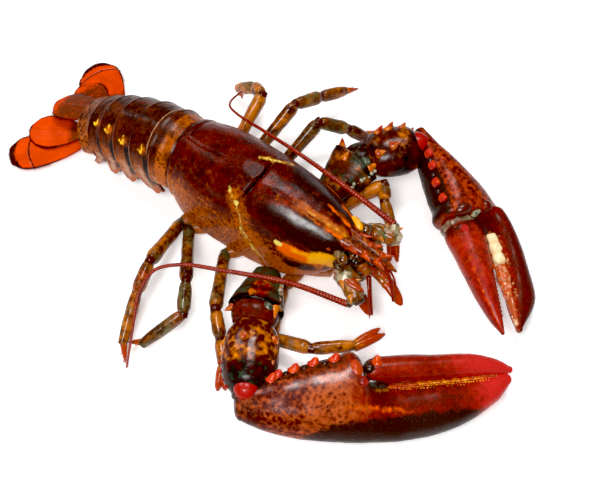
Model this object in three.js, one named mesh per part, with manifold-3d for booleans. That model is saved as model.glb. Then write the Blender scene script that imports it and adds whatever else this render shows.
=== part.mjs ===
// A cooked clawed lobster at its real size, lying on its belly with both claws folded in front of it.
//
// Lengths are millimetres. The frame is the animal's own: +X towards the head, +Y towards its left side,
// +Z up from the surface that it lies on. The origin is the middle of the flat breastplate underneath.

import * as THREE from "three";
import { mergeVertices } from "three/addons/utils/BufferGeometryUtils.js";
import Module from "manifold-3d";

const wasm = await Module();
wasm.setup();

// ---------------------------------------------------------------- driving dimensions

const carapaceLength = 95; // from the eye sockets to the rear edge
const carapaceRear = -50; // X of the rear edge on the midline
const carapaceFront = carapaceRear + carapaceLength;
const rostrumLength = 27; // the beak between the eyes
const tailPitch = 1; // one tail ring for each step of the tail's own scale
const tailRings = 6;
const shellGap = 0.35; // clear air between two plates that would touch
const shellStep = 0.9; // how far a tail ring's rear edge stands over the next ring
const pleuraThickness = 1.5; // side flaps of the tail rings
const fanThickness = 1.2; // blades of the tail fan

// ---------------------------------------------------------------- small tools

const vec = (x, y, z) => new THREE.Vector3(x, y, z);
const steps = (count) => Array.from({ length: count + 1 }, (_, i) => i / count);
const mix = THREE.MathUtils.lerp;
const smooth = THREE.MathUtils.smoothstep;
const degrees = THREE.MathUtils.degToRad;

// Rows of [x, a, b, ...] in growing x as a smooth function that gives [a, b, ...] at any x.
function profile(rows) {
  const slope = (i, k) => {
    const before = rows[Math.max(i - 1, 0)];
    const after = rows[Math.min(i + 1, rows.length - 1)];
    return (after[k] - before[k]) / (after[0] - before[0]);
  };
  return (x) => {
    let i = 0;
    while (i < rows.length - 2 && x > rows[i + 1][0]) i += 1;
    const [p, q] = [rows[i], rows[i + 1]];
    const span = q[0] - p[0];
    const t = THREE.MathUtils.clamp((x - p[0]) / span, 0, 1);
    const value = (k) =>
      p[k] * (2 * t ** 3 - 3 * t ** 2 + 1) +
      q[k] * (3 * t ** 2 - 2 * t ** 3) +
      span * slope(i, k) * (t ** 3 - 2 * t ** 2 + t) +
      span * slope(i + 1, k) * (t ** 3 - t ** 2);
    return p.slice(1).map((_, k) => value(k + 1));
  };
}

// A closed geometry from points and triangles, turned so that its faces point out.
function closedGeometry(points, triangles) {
  let volume = 0;
  for (const [a, b, c] of triangles) volume += points[a].dot(points[b].clone().cross(points[c]));
  const index = triangles.flatMap(([a, b, c]) => (volume < 0 ? [a, c, b] : [a, b, c]));
  const geometry = new THREE.BufferGeometry().setFromPoints(points);
  geometry.setIndex(index);
  return geometry;
}

// A solid stretched over rings with the same number of points, with a fan over each end.
function skin(rings) {
  const sides = rings[0].length;
  const points = rings.flat();
  const triangles = [];
  for (let r = 0; r < rings.length - 1; r += 1) {
    for (let s = 0; s < sides; s += 1) {
      const [a, b] = [r * sides + s, r * sides + ((s + 1) % sides)];
      triangles.push([a, b, b + sides], [a, b + sides, a + sides]);
    }
  }
  for (const [ring, first, turn] of [
    [rings[0], 0, true],
    [rings.at(-1), (rings.length - 1) * sides, false],
  ]) {
    const middle = ring.reduce((sum, p) => sum.add(p), vec(0, 0, 0)).divideScalar(sides);
    const hub = points.push(middle) - 1;
    for (let s = 0; s < sides; s += 1) {
      const [a, b] = [first + s, first + ((s + 1) % sides)];
      triangles.push(turn ? [hub, b, a] : [hub, a, b]);
    }
  }
  return closedGeometry(points, triangles);
}

// A solid between an outer and an inner sheet over the same grid, closed along the grid's border.
function sandwich(outer, inner) {
  const [rows, columns] = [outer.length, outer[0].length];
  const points = [...outer.flat(), ...inner.flat()];
  const below = rows * columns;
  const at = (r, c) => r * columns + c;
  const triangles = [];
  const quad = (a, b, c, d) => triangles.push([a, b, c], [a, c, d]);
  for (let r = 0; r < rows - 1; r += 1) {
    for (let c = 0; c < columns - 1; c += 1) {
      const [p, q, s, t] = [at(r, c), at(r, c + 1), at(r + 1, c + 1), at(r + 1, c)];
      quad(p, q, s, t);
      quad(below + p, below + t, below + s, below + q);
    }
  }
  for (let c = 0; c < columns - 1; c += 1) {
    quad(at(0, c + 1), at(0, c), below + at(0, c), below + at(0, c + 1));
    quad(at(rows - 1, c), at(rows - 1, c + 1), below + at(rows - 1, c + 1), below + at(rows - 1, c));
  }
  for (let r = 0; r < rows - 1; r += 1) {
    const [near, far] = [at(r, columns - 1), at(r + 1, columns - 1)];
    quad(at(r, 0), at(r + 1, 0), below + at(r + 1, 0), below + at(r, 0));
    quad(far, near, below + near, below + far);
  }
  return closedGeometry(points, triangles);
}

// One ring of a limb or a body: a rounded oval, squarer as the power grows.
function oval(centre, side, up, halfWidth, halfHeight, sides, power = 2) {
  const bent = (x) => Math.sign(x) * Math.abs(x) ** (2 / power);
  return steps(sides).slice(0, sides).map((t) => {
    const angle = 2 * Math.PI * t;
    return centre
      .clone()
      .addScaledVector(side, halfWidth * bent(Math.cos(angle)))
      .addScaledVector(up, halfHeight * bent(Math.sin(angle)));
  });
}

// The directions of a limb that runs along `forward`: its sideways and its upward direction.
function frameOf(forward, upHint = vec(0, 0, 1)) {
  const side = upHint.clone().cross(forward).normalize();
  return { side, up: forward.clone().cross(side).normalize() };
}

// A limb section from one joint to the next. Rows are [share of the length, half width, half height].
function limb(from, to, rows, { sides = 8, count = 6 } = {}) {
  const forward = to.clone().sub(from);
  const { side, up } = frameOf(forward.clone().normalize());
  const size = profile(rows);
  return skin(
    steps(count).map((t) => {
      const [halfWidth, halfHeight] = size(t);
      const centre = from.clone().addScaledVector(forward, t);
      return oval(centre, side, up, halfWidth, halfHeight, sides);
    }),
  );
}

// A spine or a tooth: a cone with its foot at `foot`, sunk a little way in, pointing along `direction`.
function spine(foot, direction, length, radius, sides = 5) {
  const cone = new THREE.ConeGeometry(radius, length, sides);
  const aim = direction.clone().normalize();
  cone.applyQuaternion(new THREE.Quaternion().setFromUnitVectors(vec(0, 1, 0), aim));
  const centre = foot.clone().addScaledVector(aim, length / 2 - radius * 0.5);
  return cone.translate(centre.x, centre.y, centre.z);
}

// A round bump, such as a molar or a joint's knuckle.
function knob(centre, radii, turn = 0, detail = [7, 5]) {
  const ball = new THREE.SphereGeometry(1, ...detail).scale(...radii).rotateZ(turn);
  return ball.translate(centre.x, centre.y, centre.z);
}

// ---------------------------------------------------------------- joining and cutting

function solidOf(geometry) {
  const bare = geometry.clone();
  for (const name of Object.keys(bare.attributes)) if (name !== "position") bare.deleteAttribute(name);
  const merged = mergeVertices(bare, 1e-3);
  return new wasm.Manifold(
    new wasm.Mesh({
      numProp: 3,
      vertProperties: merged.attributes.position.array,
      triVerts: new Uint32Array(merged.index.array),
    }),
  );
}

function geometryOf(solid) {
  const mesh = solid.getMesh();
  const positions = new Float32Array(mesh.numVert * 3);
  for (let i = 0; i < mesh.numVert; i += 1) {
    positions.set(mesh.vertProperties.subarray(i * mesh.numProp, i * mesh.numProp + 3), i * 3);
  }
  const geometry = new THREE.BufferGeometry();
  geometry.setAttribute("position", new THREE.BufferAttribute(positions, 3));
  geometry.setIndex(new THREE.BufferAttribute(mesh.triVerts, 1));
  return geometry;
}

const fuse = (...geometries) => geometryOf(geometries.map(solidOf).reduce((whole, next) => whole.add(next)));
const carve = (geometry, ...tools) =>
  geometryOf(tools.map(solidOf).reduce((whole, tool) => whole.subtract(tool), solidOf(geometry)));

// ---------------------------------------------------------------- materials and the scene graph

const lobster = new THREE.Group();

const shell = (colour, roughness = 0.3) =>
  new THREE.MeshStandardMaterial({ color: colour, roughness, metalness: 0 });

const materials = {
  darkShell: shell(0x5a1408),
  tailShell: shell(0x6b2a0c),
  fanShell: shell(0xd24a0c, 0.4),
  clawShell: shell(0x8a1f10),
  legShell: shell(0x8f4a14, 0.4),
  armShell: shell(0x3c2412),
  whisker: shell(0x7a0d08, 0.4),
  belly: shell(0xc08048, 0.5),
  eye: shell(0x0c0806, 0.1),
};

function place(name, geometry, material) {
  const mesh = new THREE.Mesh(geometry, materials[material]);
  mesh.name = name;
  lobster.add(mesh);
  return mesh;
}

// ---------------------------------------------------------------- carapace

// Half width, crown height, height of the widest part and height of the lower edge along X.
const carapaceShape = profile([
  [carapaceRear, 20.8, 46, 24.5, 17],
  [-38, 24.8, 49, 18.5, 12.8],
  [-22, 25.6, 51.7, 15, 10.6],
  [-6, 25.3, 52.8, 14.4, 10.4],
  [10, 24.2, 52.1, 14.6, 10.6],
  [24, 22, 50, 17, 11.6],
  [35, 17.2, 47.6, 22, 14.5],
  [carapaceFront - 2, 12, 45.3, 29, 20],
  [carapaceFront + 2, 8, 43.5, 34, 28],
]);
const carapaceStations = [
  carapaceRear, -43, -35, -26, -18, -12, -8.5, -6, -3.5, -1, 3, 9, 16, 23, 29, 35, 40, 44, 46.5,
];
const carapaceSides = 30;
const rearLean = 0.18; // the rear edge leans forward as it goes down
const grooveDepth = 1.5;
const grooveWidth = 2.2;

// X of the neck groove at a share of the way down the flank, 0 on the midline and 1 at the skirt.
const grooveLine = profile([
  [0, -3],
  [0.25, -6.5],
  [0.45, -7],
  [0.7, 3],
  [1, 14],
]);

function carapaceRing(x) {
  const [halfWidth, crown, waist, skirt] = carapaceShape(x);
  const squareness = mix(2, 2.3, smooth(x, carapaceRear, -30));
  const ring = oval(vec(0, 0, 0), vec(0, 1, 0), vec(0, 0, 1), 1, 1, carapaceSides, squareness);
  return ring.map((p) => {
    const rise = p.z > 0 ? crown - waist : waist - skirt;
    const flank = Math.acos(THREE.MathUtils.clamp(p.z, -1, 1)) / Math.PI;
    const away = (x - grooveLine(Math.min(flank * 1.35, 1))[0]) / grooveWidth;
    const sunk = 1 - (grooveDepth * Math.exp(-away * away) * smooth(p.z, -0.5, 0)) / halfWidth;
    const z = waist + p.z * rise * sunk;
    return vec(x + rearLean * (crown - z) * smooth(-x, 5, 50), p.y * halfWidth * sunk, z);
  });
}

// The beak: a tapering spike with three thorns on each side.
const rostrumTop = 45;
const rostrumDroop = 8;
function rostrum() {
  const root = carapaceFront - 10;
  const tip = carapaceFront + rostrumLength;
  const shape = profile([
    [0, 7.5, 4],
    [0.35, 5, 3],
    [0.75, 2.6, 1.7],
    [1, 0.4, 0.4],
  ]);
  const centreAt = (t) => vec(mix(root, tip, t), 0, rostrumTop - 3 - rostrumDroop * t * t * 0.6);
  const blade = skin(
    steps(7).map((t) => {
      const [halfWidth, halfHeight] = shape(t);
      return oval(centreAt(t), vec(0, 1, 0), vec(0, 0, 1), halfWidth, halfHeight, 8);
    }),
  );
  const thorns = [0.4, 0.58, 0.76].flatMap((t) =>
    [-1, 1].map((side) => {
      const foot = centreAt(t).add(vec(0, side * shape(t)[0] * 0.75, 0.5));
      return spine(foot, vec(1, side * 0.55, 0.25), 6, 1.3);
    }),
  );
  return fuse(blade, ...thorns);
}

// ---------------------------------------------------------------- legs and arms: where the joints are

// Each walking leg from its hip to the tip of its foot.
const walkingLegs = {
  right_leg_1: [[25, -24, 6], [36.8, -50.5, 9.5], [56, -45, 12], [72, -31, 11], [76, -17, 10]],
  right_leg_2: [[-9, -26, 6.5], [9.5, -57, 19], [18.5, -65.5, 12], [27.5, -75, 5], [33, -82, 1.5]],
  right_leg_3: [[-32, -25, 6.5], [-10, -54, 21], [-2.5, -66.5, 15], [-12, -87, 5.5], [-19, -89, 2]],
  right_leg_4: [[-37, -25, 6.5], [-30, -56, 22], [-28, -70, 13], [-20, -92, 5], [-14, -98, 1]],
  left_leg_1: [[22, 26, 6.5], [36, 46, 18], [40.5, 39.5, 15], [51, 31, 10.5], [59, 17.5, 6]],
  left_leg_2: [[-16, 26, 6.5], [-10, 55, 22], [2, 64, 15], [10, 70, 6], [14, 76, 1]],
  left_leg_3: [[-31, 25, 6.5], [-26, 57, 22], [-20, 71, 17], [-14, 84, 12], [-10, 91, 9]],
  left_leg_4: [[-42, 24, 6.5], [-43, 52, 22], [-51, 56, 17], [-62, 56, 7], [-59, 55, 2]],
};
const legRadius = 3.3;

// The breastplate: a flat-bottomed keel with a stub for each leg and arm.
const breastplateHalfWidth = 12;
const stubRadius = 3.6;
const stubRoots = { 1: 26, 2: 4, 3: -14, 4: -30 };

function stub(name, grow = 0) {
  const [pair, side] = [name.at(-1), name.startsWith("left") ? 1 : -1];
  const hip = vec(...walkingLegs[name][0]);
  const root = vec(stubRoots[pair], side * 8, 5.5);
  const end = hip.clone().lerp(root, 0.08);
  const radius = stubRadius + grow;
  return limb(root, end.addScaledVector(hip.clone().sub(root).normalize(), grow), [
    [0, radius, radius],
    [0.6, radius, radius * 0.95],
    [1, radius * 0.85, radius * 0.85],
  ], { sides: 6, count: 2 });
}

function breastplate() {
  const shape = profile([
    [-46, 7, 4, 8.5],
    [-34, 10.5, 0.6, 9],
    [-22, breastplateHalfWidth, 0, 9.2],
    [22, breastplateHalfWidth, 0, 9.2],
    [32, 9, 1.5, 9.2],
    [40, 6, 5, 10],
  ]);
  const rows = [-46, -38, -30, -22, 22, 30, 36, 40];
  return skin(
    rows.map((x) => {
      const [w, low, high] = shape(x);
      return [vec(x, w, low), vec(x, w + 2, high), vec(x, -w - 2, high), vec(x, -w, low)];
    }),
  );
}

// ---------------------------------------------------------------- tail

// Along the tail, at the front edge of each ring and at the end: X and height of the crown, lean in degrees,
// half width, arch height and how far the middle lies to the right.
const tailShape = profile([
  [0, -51.2, 45, 10, 19.8, 21.8, 0.4],
  [1, -62.9, 44.3, 15.4, 20, 22, 0.6],
  [2, -75.8, 41.2, 20.9, 19.5, 21.6, 1.1],
  [3, -86.9, 36.6, 26.7, 18.9, 20.8, 1.9],
  [4, -96.6, 31, 32.5, 18.2, 19.4, 2.6],
  [5, -104.6, 25, 37.1, 17.5, 17.6, 3.3],
  [6, -112.8, 17.8, 43, 16.2, 15, 4],
]);
// The point of each ring's side flap: X, distance from the middle and height.
const flapTips = [
  [-53.5, 18.5, 19.5],
  [-56, 19, 9.5],
  [-71.5, 19, 6.5],
  [-82.5, 19, 4.8],
  [-94, 18, 3.2],
  [-104, 15.5, 2.6],
];
const ringClearance = 0.03; // share of a ring's length left free at each end
const flapShare = 0.36; // share of the way round that the flap takes
const flapTaper = 0.72; // how much narrower the flap is at its point
const bellyShare = 0.8; // share of the flaps' depth that the flesh between them fills
const bellyPower = 4;

function tailArch(s, angle, lift) {
  const [x, crown, lean, halfWidth, arch, drift] = tailShape(s);
  const turn = degrees(lean);
  const drop = (1 - Math.cos(angle)) * arch - lift * Math.cos(angle);
  const y = Math.sin(angle) * (halfWidth + lift) - drift;
  return vec(x + drop * Math.sin(turn), y, crown - drop * Math.cos(turn));
}

// The underside of a ring: flesh that bulges down between the flaps, almost to their points.
function tailBelly(s, share, tipZ) {
  const [, , , halfWidth, , drift] = tailShape(s);
  const edge = tailArch(s, Math.PI * 0.48, 0);
  const bulge = bellyShare * (edge.z - tipZ) * (1 - Math.abs(share) ** bellyPower);
  return vec(edge.x, share * (halfWidth - pleuraThickness) - drift, edge.z - bulge);
}

function tailRing(number) {
  const start = (number - 1) * tailPitch;
  const [tipX, tipReach, tipZ] = flapTips[number - 1];
  const [, , , , , drift] = tailShape(start + 0.5);
  const bend = 1 - flapShare;
  const point = (u, v, inner) => {
    const s = start + ringClearance + u * (1 - 2 * ringClearance);
    const lift = inner ? 0 : shellStep * smooth(u, 0.1, 1);
    const side = Math.sign(v);
    if (Math.abs(v) <= bend) {
      return inner ? tailBelly(s, v / bend, tipZ) : tailArch(s, ((v / bend) * Math.PI) / 2, lift);
    }
    const t = (Math.abs(v) - bend) / flapShare;
    const middle = tailArch(start + 0.5, (side * Math.PI) / 2, 0);
    const root = tailArch(s, (side * Math.PI) / 2, lift * (1 - t));
    const tip = vec(tipX, side * tipReach - drift, tipZ);
    const onFlap = middle.clone().lerp(root, 1 - flapTaper * t ** 1.6).addScaledVector(tip.sub(middle), t);
    return inner ? onFlap.add(vec(0, -side * pleuraThickness, 0)) : onFlap;
  };
  const sheet = (inner) => steps(3).map((u) => steps(18).map((t) => point(u, 2 * t - 1, inner)));
  return sandwich(sheet(false), sheet(true));
}

// A blade of the tail fan, or another flat leaf: length along `forward`, rounded at its far end.
function blade(root, forward, up, rows, { crown = 0.9, columns = 5 } = {}) {
  const length = forward.length();
  const ahead = forward.clone().normalize();
  const across = up.clone().cross(ahead).normalize();
  const above = ahead.clone().cross(across).normalize();
  const shape = profile(rows);
  const sheet = (inner) =>
    steps(5).map((u) =>
      steps(columns).map((t) => {
        const v = 2 * t - 1;
        const [halfWidth, offset] = shape(u);
        const edge = 1 - v * v;
        const height = inner ? -fanThickness * (0.4 + 0.6 * edge) : crown * edge;
        return root
          .clone()
          .addScaledVector(ahead, u * length - (halfWidth * 0.18 * v * v) * smooth(u, 0.6, 1))
          .addScaledVector(across, v * halfWidth + offset)
          .addScaledVector(above, height);
      }),
    );
  return sandwich(sheet(false), sheet(true));
}

const leaf = (rows) => rows.map(([t, halfWidth]) => [t, halfWidth, 0]);
const middleLeaf = leaf([[0, 8.5], [0.3, 9.3], [0.7, 9], [0.92, 7], [1, 4.5]]);
const innerLeaf = leaf([[0, 3.5], [0.25, 7.5], [0.6, 9.8], [0.88, 8], [1, 4.5]]);
const outerLeaf = leaf([[0, 3.2], [0.25, 7], [0.6, 9.8], [0.85, 9.2], [1, 5.5]]);
const fanBlades = {
  telson: { root: [-113.6, -4, 15.8], tip: [-133.5, -6.5, 7], rows: middleLeaf, tilt: 0.1 },
  right_tail_blade_inner: { root: [-111, -12.5, 7.4], tip: [-135, -26.5, 4.4], rows: innerLeaf, tilt: 0 },
  left_tail_blade_inner: { root: [-111, 5, 7.4], tip: [-131.5, 9, 4.4], rows: innerLeaf, tilt: 0 },
  right_tail_blade_outer: { root: [-108.5, -17.5, 4.5], tip: [-135, -43, 1.9], rows: outerLeaf, tilt: 0 },
  left_tail_blade_outer: { root: [-107.5, 12, 4.5], tip: [-135.5, 26, 1.9], rows: outerLeaf, tilt: 0 },
};

// ---------------------------------------------------------------- claws

// Claws lie in their own frame: `ahead` from the wrist to the tips, `inward` to the side of the thumb.
function clawFrame(wrist, tip, thumbSide, roll) {
  const ahead = tip.clone().sub(wrist).normalize();
  const level = vec(-ahead.y, ahead.x, 0).normalize().multiplyScalar(thumbSide);
  const inward = level.applyAxisAngle(ahead, degrees(roll * thumbSide));
  const above = thumbSide > 0 ? ahead.clone().cross(inward) : inward.clone().cross(ahead);
  const at = (a, b, c = 0) =>
    wrist.clone().addScaledVector(ahead, a).addScaledVector(inward, b).addScaledVector(above, c);
  return { ahead, inward, above, at };
}

// A claw's piece from rows of [distance along, outer edge, inner edge, half thickness].
function clawPiece(frame, rows, stations, sides, power = 2.2, grow = 0) {
  const shape = profile(rows.map(([a, outer, inner, half]) => [a, outer - grow, inner + grow, half + grow]));
  return skin(
    stations.map((a) => {
      const [outer, inner, half] = shape(a);
      const centre = frame.at(a, (outer + inner) / 2);
      return oval(centre, frame.inward, frame.above, (inner - outer) / 2, half, sides, power);
    }),
  );
}

const claws = {
  right: {
    frame: clawFrame(vec(48.3, -85.4, 17.6), vec(137.3, -2.4, 10.6), 1, 14),
    palm: [
      [-3, -8.5, 4, 5.5], [4, -12.5, 7, 8.5], [14, -17, 10.2, 11.5], [28, -20.5, 13.8, 13],
      [42, -23.2, 15.8, 13.5], [52, -24.2, 15.5, 12.5], [55, -24.4, 0.6, 11], [68, -25.1, 0, 9.5],
      [88, -23.4, -0.4, 8], [104, -18.2, -0.4, 6.2], [116, -11, -0.2, 4], [122, -4.6, 0.3, 1.6],
    ],
    palmStations: [-3, 1, 7, 14, 22, 32, 42, 50, 52, 55, 61, 70, 80, 90, 99, 107, 114, 119, 122],
    thumb: [
      [54.5, 2.5, 10.5, 6], [58, 1.2, 13.4, 8.5], [68, 0.6, 14.4, 8.5], [88, 0.4, 12.8, 7.5],
      [104, 0.8, 10.9, 6], [114, 1, 7.8, 4.2], [120, 1.2, 4.4, 2], [123, 1.6, 2.8, 0.8],
    ],
    thumbStations: [54.5, 57, 61, 68, 78, 88, 97, 105, 112, 117, 120, 123],
    spines: [[13.5, 9.8], [23, 12.4], [32.4, 14.8], [42, 15.6]],
    knuckles: [[50.5, 7.5, 9.5], [52.3, 0.5, 9.5]],
    thumbSpine: [61, 12, 5.5],
    teeth: [],
  },
  left: {
    frame: clawFrame(vec(38, 77.6, 21.2), vec(127, 17.6, 11.2), -1, 18),
    palm: [
      [-3, -1.6, 3.5, 4.5], [4, -3, 5.6, 7.5], [14, -7, 7.8, 10.5], [26, -12.8, 9.8, 12.5],
      [38, -17.8, 11.2, 13], [47, -20.2, 11.4, 12.5], [50, -21, -7.5, 11.5], [62, -23, -11, 10],
      [78, -22.2, -9.4, 8.8],
      [92, -20.5, -6, 7.2], [101, -15.4, -4, 5.4], [108.5, -6, -3, 2.2],
    ],
    palmStations: [-3, 1, 7, 14, 22, 30, 38, 45, 47, 50, 56, 63, 71, 79, 87, 94, 100, 105, 108.5],
    thumb: [
      [49.5, -6, 9, 6], [53, -7.4, 11, 8.5], [63, -6.6, 10.8, 8.5], [78, -3.6, 10.2, 7.2],
      [90, -0.4, 9.4, 5.6], [100, 2.2, 8, 3.8], [107.5, 4.2, 5.6, 1.3],
    ],
    thumbStations: [49.5, 52, 56, 63, 71, 79, 87, 94, 100, 104, 107.5],
    spines: [[14, 8.6], [20.5, 9.8], [29, 11.6], [38.4, 12.6]],
    knuckles: [[46, 7.5, 8], [46.3, -10.3, 9]],
    thumbSpine: [55.5, 7, 7],
    teeth: [
      [64, -9.4, 3.1], [70, -8.8, 3.3], [76.5, -7.8, 3.1], [83, -6.6, 2.6], [88, -5.4, 2.3], [93, -4.8, 2],
    ],
  },
};

function buildClaw(side) {
  const { frame, palm, palmStations, thumb, thumbStations, ...detail } = claws[side];
  const spines = detail.spines.map(([a, b]) =>
    spine(frame.at(a, b - 1.2, 4.5), frame.inward.clone().addScaledVector(frame.above, 0.8), 5.5, 2.2),
  );
  const knuckles = detail.knuckles.map(([a, b, c]) => knob(frame.at(a, b, c), [3.6, 3.2, 3]));
  const teeth = detail.teeth.map(([a, b, r]) => knob(frame.at(a, b, 0.5), [r, r, r * 1.05], 0, [6, 4]));
  const whole = fuse(clawPiece(frame, palm, palmStations, 14), ...spines, ...knuckles, ...teeth);
  const hand = carve(whole, clawPiece(frame, thumb, thumbStations, 12, 2, shellGap));
  const [a, b, c] = detail.thumbSpine;
  const thumbSolid = fuse(
    clawPiece(frame, thumb, thumbStations, 12, 2),
    spine(frame.at(a, b - 1, c - 1.5), frame.inward.clone().add(frame.above), 5, 1.9),
  );
  return { hand, thumb: thumbSolid };
}

// A limb's rows with its half width and half height scaled and grown.
const widened = (rows, scale, grow) => rows.map(([t, w, h]) => [t, w * scale + grow, h * scale + grow]);

// Arms: from the shoulder to the elbow, and from there to the wrist.
const arms = {
  right: { shoulder: vec(17, -25.5, 14), elbow: vec(25.7, -47.3, 19.5), wrist: vec(46.5, -82.5, 19.5) },
  left: { shoulder: vec(15, 25.5, 14), elbow: vec(18.3, 48.5, 21), wrist: vec(39, 72.4, 22.5) },
};

function upperArm(side, grow = 0) {
  const { shoulder, elbow } = arms[side];
  const rows = [[0, 6.5, 5], [0.3, 9.2, 6.5], [0.7, 12, 8], [0.93, 13, 8.8], [1, 11, 7.5]];
  const bone = limb(shoulder, elbow, widened(rows, 1, grow), { sides: 12, count: 8 });
  if (grow) return bone;
  const along = elbow.clone().sub(shoulder).normalize();
  const outward = side === "left" ? 1 : -1;
  const { side: across, up } = frameOf(along);
  const edge = across.multiplyScalar(outward);
  return fuse(
    bone,
    spine(elbow.clone().addScaledVector(edge, 9.5), edge.clone().addScaledVector(along, 1.3), 8, 2.6),
    spine(elbow.clone().addScaledVector(edge, -9).addScaledVector(up, 5), along.clone().add(up), 5, 1.8),
  );
}

function forearm(side, grow = 0) {
  const { elbow, wrist } = arms[side];
  const along = wrist.clone().sub(elbow);
  const start = elbow.clone().addScaledVector(along, 0.14);
  const rows = [[0, 8.4, 6.5], [0.2, 12, 9.5], [0.55, 13.3, 10.5], [0.85, 11.2, 9.5], [1, 7, 6.5]];
  const bone = limb(start, wrist, widened(rows, 1, grow), { sides: 12, count: 7 });
  const { side: across, up } = frameOf(along.clone().normalize());
  const knuckle = knob(wrist.clone().addScaledVector(up, 4), [5 + grow, 5 + grow, 4 + grow], 0, [9, 6]);
  if (grow) return fuse(bone, knuckle);
  const spines = [-1, 1].flatMap((edge) =>
    [0.2, 0.42, 0.64].map((t) => {
      const foot = start.clone().addScaledVector(along, t * 0.87).addScaledVector(across, edge * 10.3);
      const aim = along.clone().normalize().addScaledVector(across, edge).addScaledVector(up, 0.6);
      return spine(foot.addScaledVector(up, 3.5), aim, 5, 1.8);
    }),
  );
  return fuse(bone, knuckle, ...spines);
}

// ---------------------------------------------------------------- walking legs

// A point on the way from a to b, this many millimetres from a.
const towards = (a, b, distance) => a.clone().addScaledVector(b.clone().sub(a).normalize(), distance);

// Along each leg section: share of its length, half width and half height in leg radii.
const legRows = {
  merus: [[0, 0.72, 0.8], [0.12, 0.9, 1], [0.6, 0.95, 1.1], [0.9, 1.08, 1.2], [1, 0.7, 0.8]],
  carpus: [[0, 0.7, 0.75], [0.25, 0.95, 1.05], [0.8, 1, 1.1], [1, 0.7, 0.8]],
  shank: [[0, 0.68, 0.75], [0.2, 0.92, 1.05], [0.7, 0.88, 1], [1, 0.62, 0.7]],
  nail: [[0, 0.5, 0.6], [0.5, 0.36, 0.42], [1, 0.1, 0.1]],
};
const pincerSpread = 3; // between the tips of the small pincers on the front two pairs

function legSections(name) {
  const [hip, knee, heel, ankle, toe] = walkingLegs[name].map((p) => vec(...p));
  const part = (from, to, rows, grow = 0, options = { count: 4 }) =>
    limb(from, to, widened(rows, legRadius, grow), options);
  const upper = (grow) => part(hip, towards(knee, hip, 1.4), legRows.merus, grow);
  const middle = (grow) => part(towards(knee, heel, 1.6), towards(heel, knee, 1.2), legRows.carpus, grow);
  const shank = part(towards(heel, ankle, 1.2), ankle, legRows.shank);
  const pointed = { sides: 6, count: 3 };
  const nailRoot = towards(ankle, heel, 1.5);
  const pieces = [shank, part(nailRoot, toe, legRows.nail, 0, pointed)];
  if (name.endsWith("1") || name.endsWith("2")) {
    const aside = frameOf(toe.clone().sub(ankle).normalize()).side;
    aside.multiplyScalar(name.startsWith("left") ? pincerSpread : -pincerSpread);
    pieces.push(part(nailRoot.addScaledVector(aside, 0.3), toe.clone().add(aside), legRows.nail, 0, pointed));
  }
  return {
    merus: carve(upper(0), stub(name, shellGap)),
    carpus: carve(middle(0), upper(shellGap)),
    foot: carve(fuse(...pieces), middle(shellGap)),
  };
}

// ---------------------------------------------------------------- head

// A whisker: a tapering whip along a smooth curve through its own points.
function whip(points, rootRadius, tipRadius, count, sides = 6) {
  const curve = new THREE.CatmullRomCurve3(points.map((p) => vec(...p)), false, "centripetal");
  return skin(
    steps(count).map((t) => {
      const { side, up } = frameOf(curve.getTangentAt(t));
      const radius = mix(rootRadius, tipRadius, t ** 0.8);
      return oval(curve.getPointAt(t), side, up, radius, radius, sides);
    }),
  );
}

const antennae = {
  right: {
    sections: [[49, -11, 31], [56, -14, 28.5], [64, -18, 26]],
    path: [
      [60.5, -22.3, 27], [34, -30, 30], [4, -42.5, 29], [-15, -51, 27], [-24, -60, 25], [-24.5, -71, 20],
      [-18, -86, 11], [-11, -100.5, 3],
    ],
  },
  left: {
    sections: [[47.5, 12.4, 31], [55, 16.8, 31], [62, 18.3, 30]],
    path: [
      [56.6, 22.3, 33.6], [28, 24.6, 35.5], [-3, 27.8, 34], [-26, 30.5, 30], [-45, 33.5, 25], [-53, 37.5, 21],
      [-56, 44, 17], [-56, 52, 14],
    ],
  },
};

function antennaBase(side) {
  const [root, middle, end] = antennae[side].sections.map((p) => vec(...p));
  const socket = end.clone().lerp(vec(...antennae[side].path[0]), 0.55);
  return fuse(
    limb(root, middle, [[0, 4.2, 3.6], [0.6, 5, 4.2], [1, 4.4, 3.8]], { count: 3 }),
    limb(middle, end, [[0, 4.2, 3.6], [0.6, 4.4, 3.8], [1, 3, 2.6]], { count: 3 }),
    limb(end.clone().lerp(middle, 0.4), socket, [[0, 2.6, 2.6], [1, 2.1, 2.1]], { count: 2 }),
  );
}

const headPieces = {
  eye: { centre: [48.8, 9.4, 38.5], radius: 3.2 },
  antennule: {
    right: [[60.5, -5, 28], [64, -9, 24], [70, -15, 13.5]],
    left: [[62, 3, 30], [69, 0.5, 25], [75, -5, 17]],
  },
  jawLeg: {
    right: [[44, -6, 11], [54, -9, 14], [62.5, -11.5, 14], [68.5, -13.2, 9.5]],
    left: [[44, 6, 11], [56, 4.5, 16], [68.5, 2, 15.5], [78, -1.6, 11.5]],
  },
};

function eyeball(side, grow = 0) {
  const [x, y, z] = headPieces.eye.centre;
  const radius = headPieces.eye.radius + grow;
  return knob(vec(x, side === "left" ? y : -y, z), [radius, radius, radius], 0, [8, 6]);
}

// ---------------------------------------------------------------- the whole animal

const sides = ["right", "left"];
const legNames = Object.keys(walkingLegs);

place("breastplate", fuse(breastplate(), ...legNames.map((name) => stub(name))), "belly");

const carapaceSolid = fuse(skin(carapaceStations.map(carapaceRing)), rostrum());
const openings = [
  ...legNames.map((name) => stub(name, shellGap)),
  ...sides.map((side) => upperArm(side, shellGap)),
  ...sides.map((side) => eyeball(side, shellGap)),
];
place("carapace", carve(carapaceSolid, ...openings), "darkShell");

for (let number = 1; number <= tailRings; number += 1) {
  place(`tail_ring_${number}`, tailRing(number), "tailShell");
}

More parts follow.
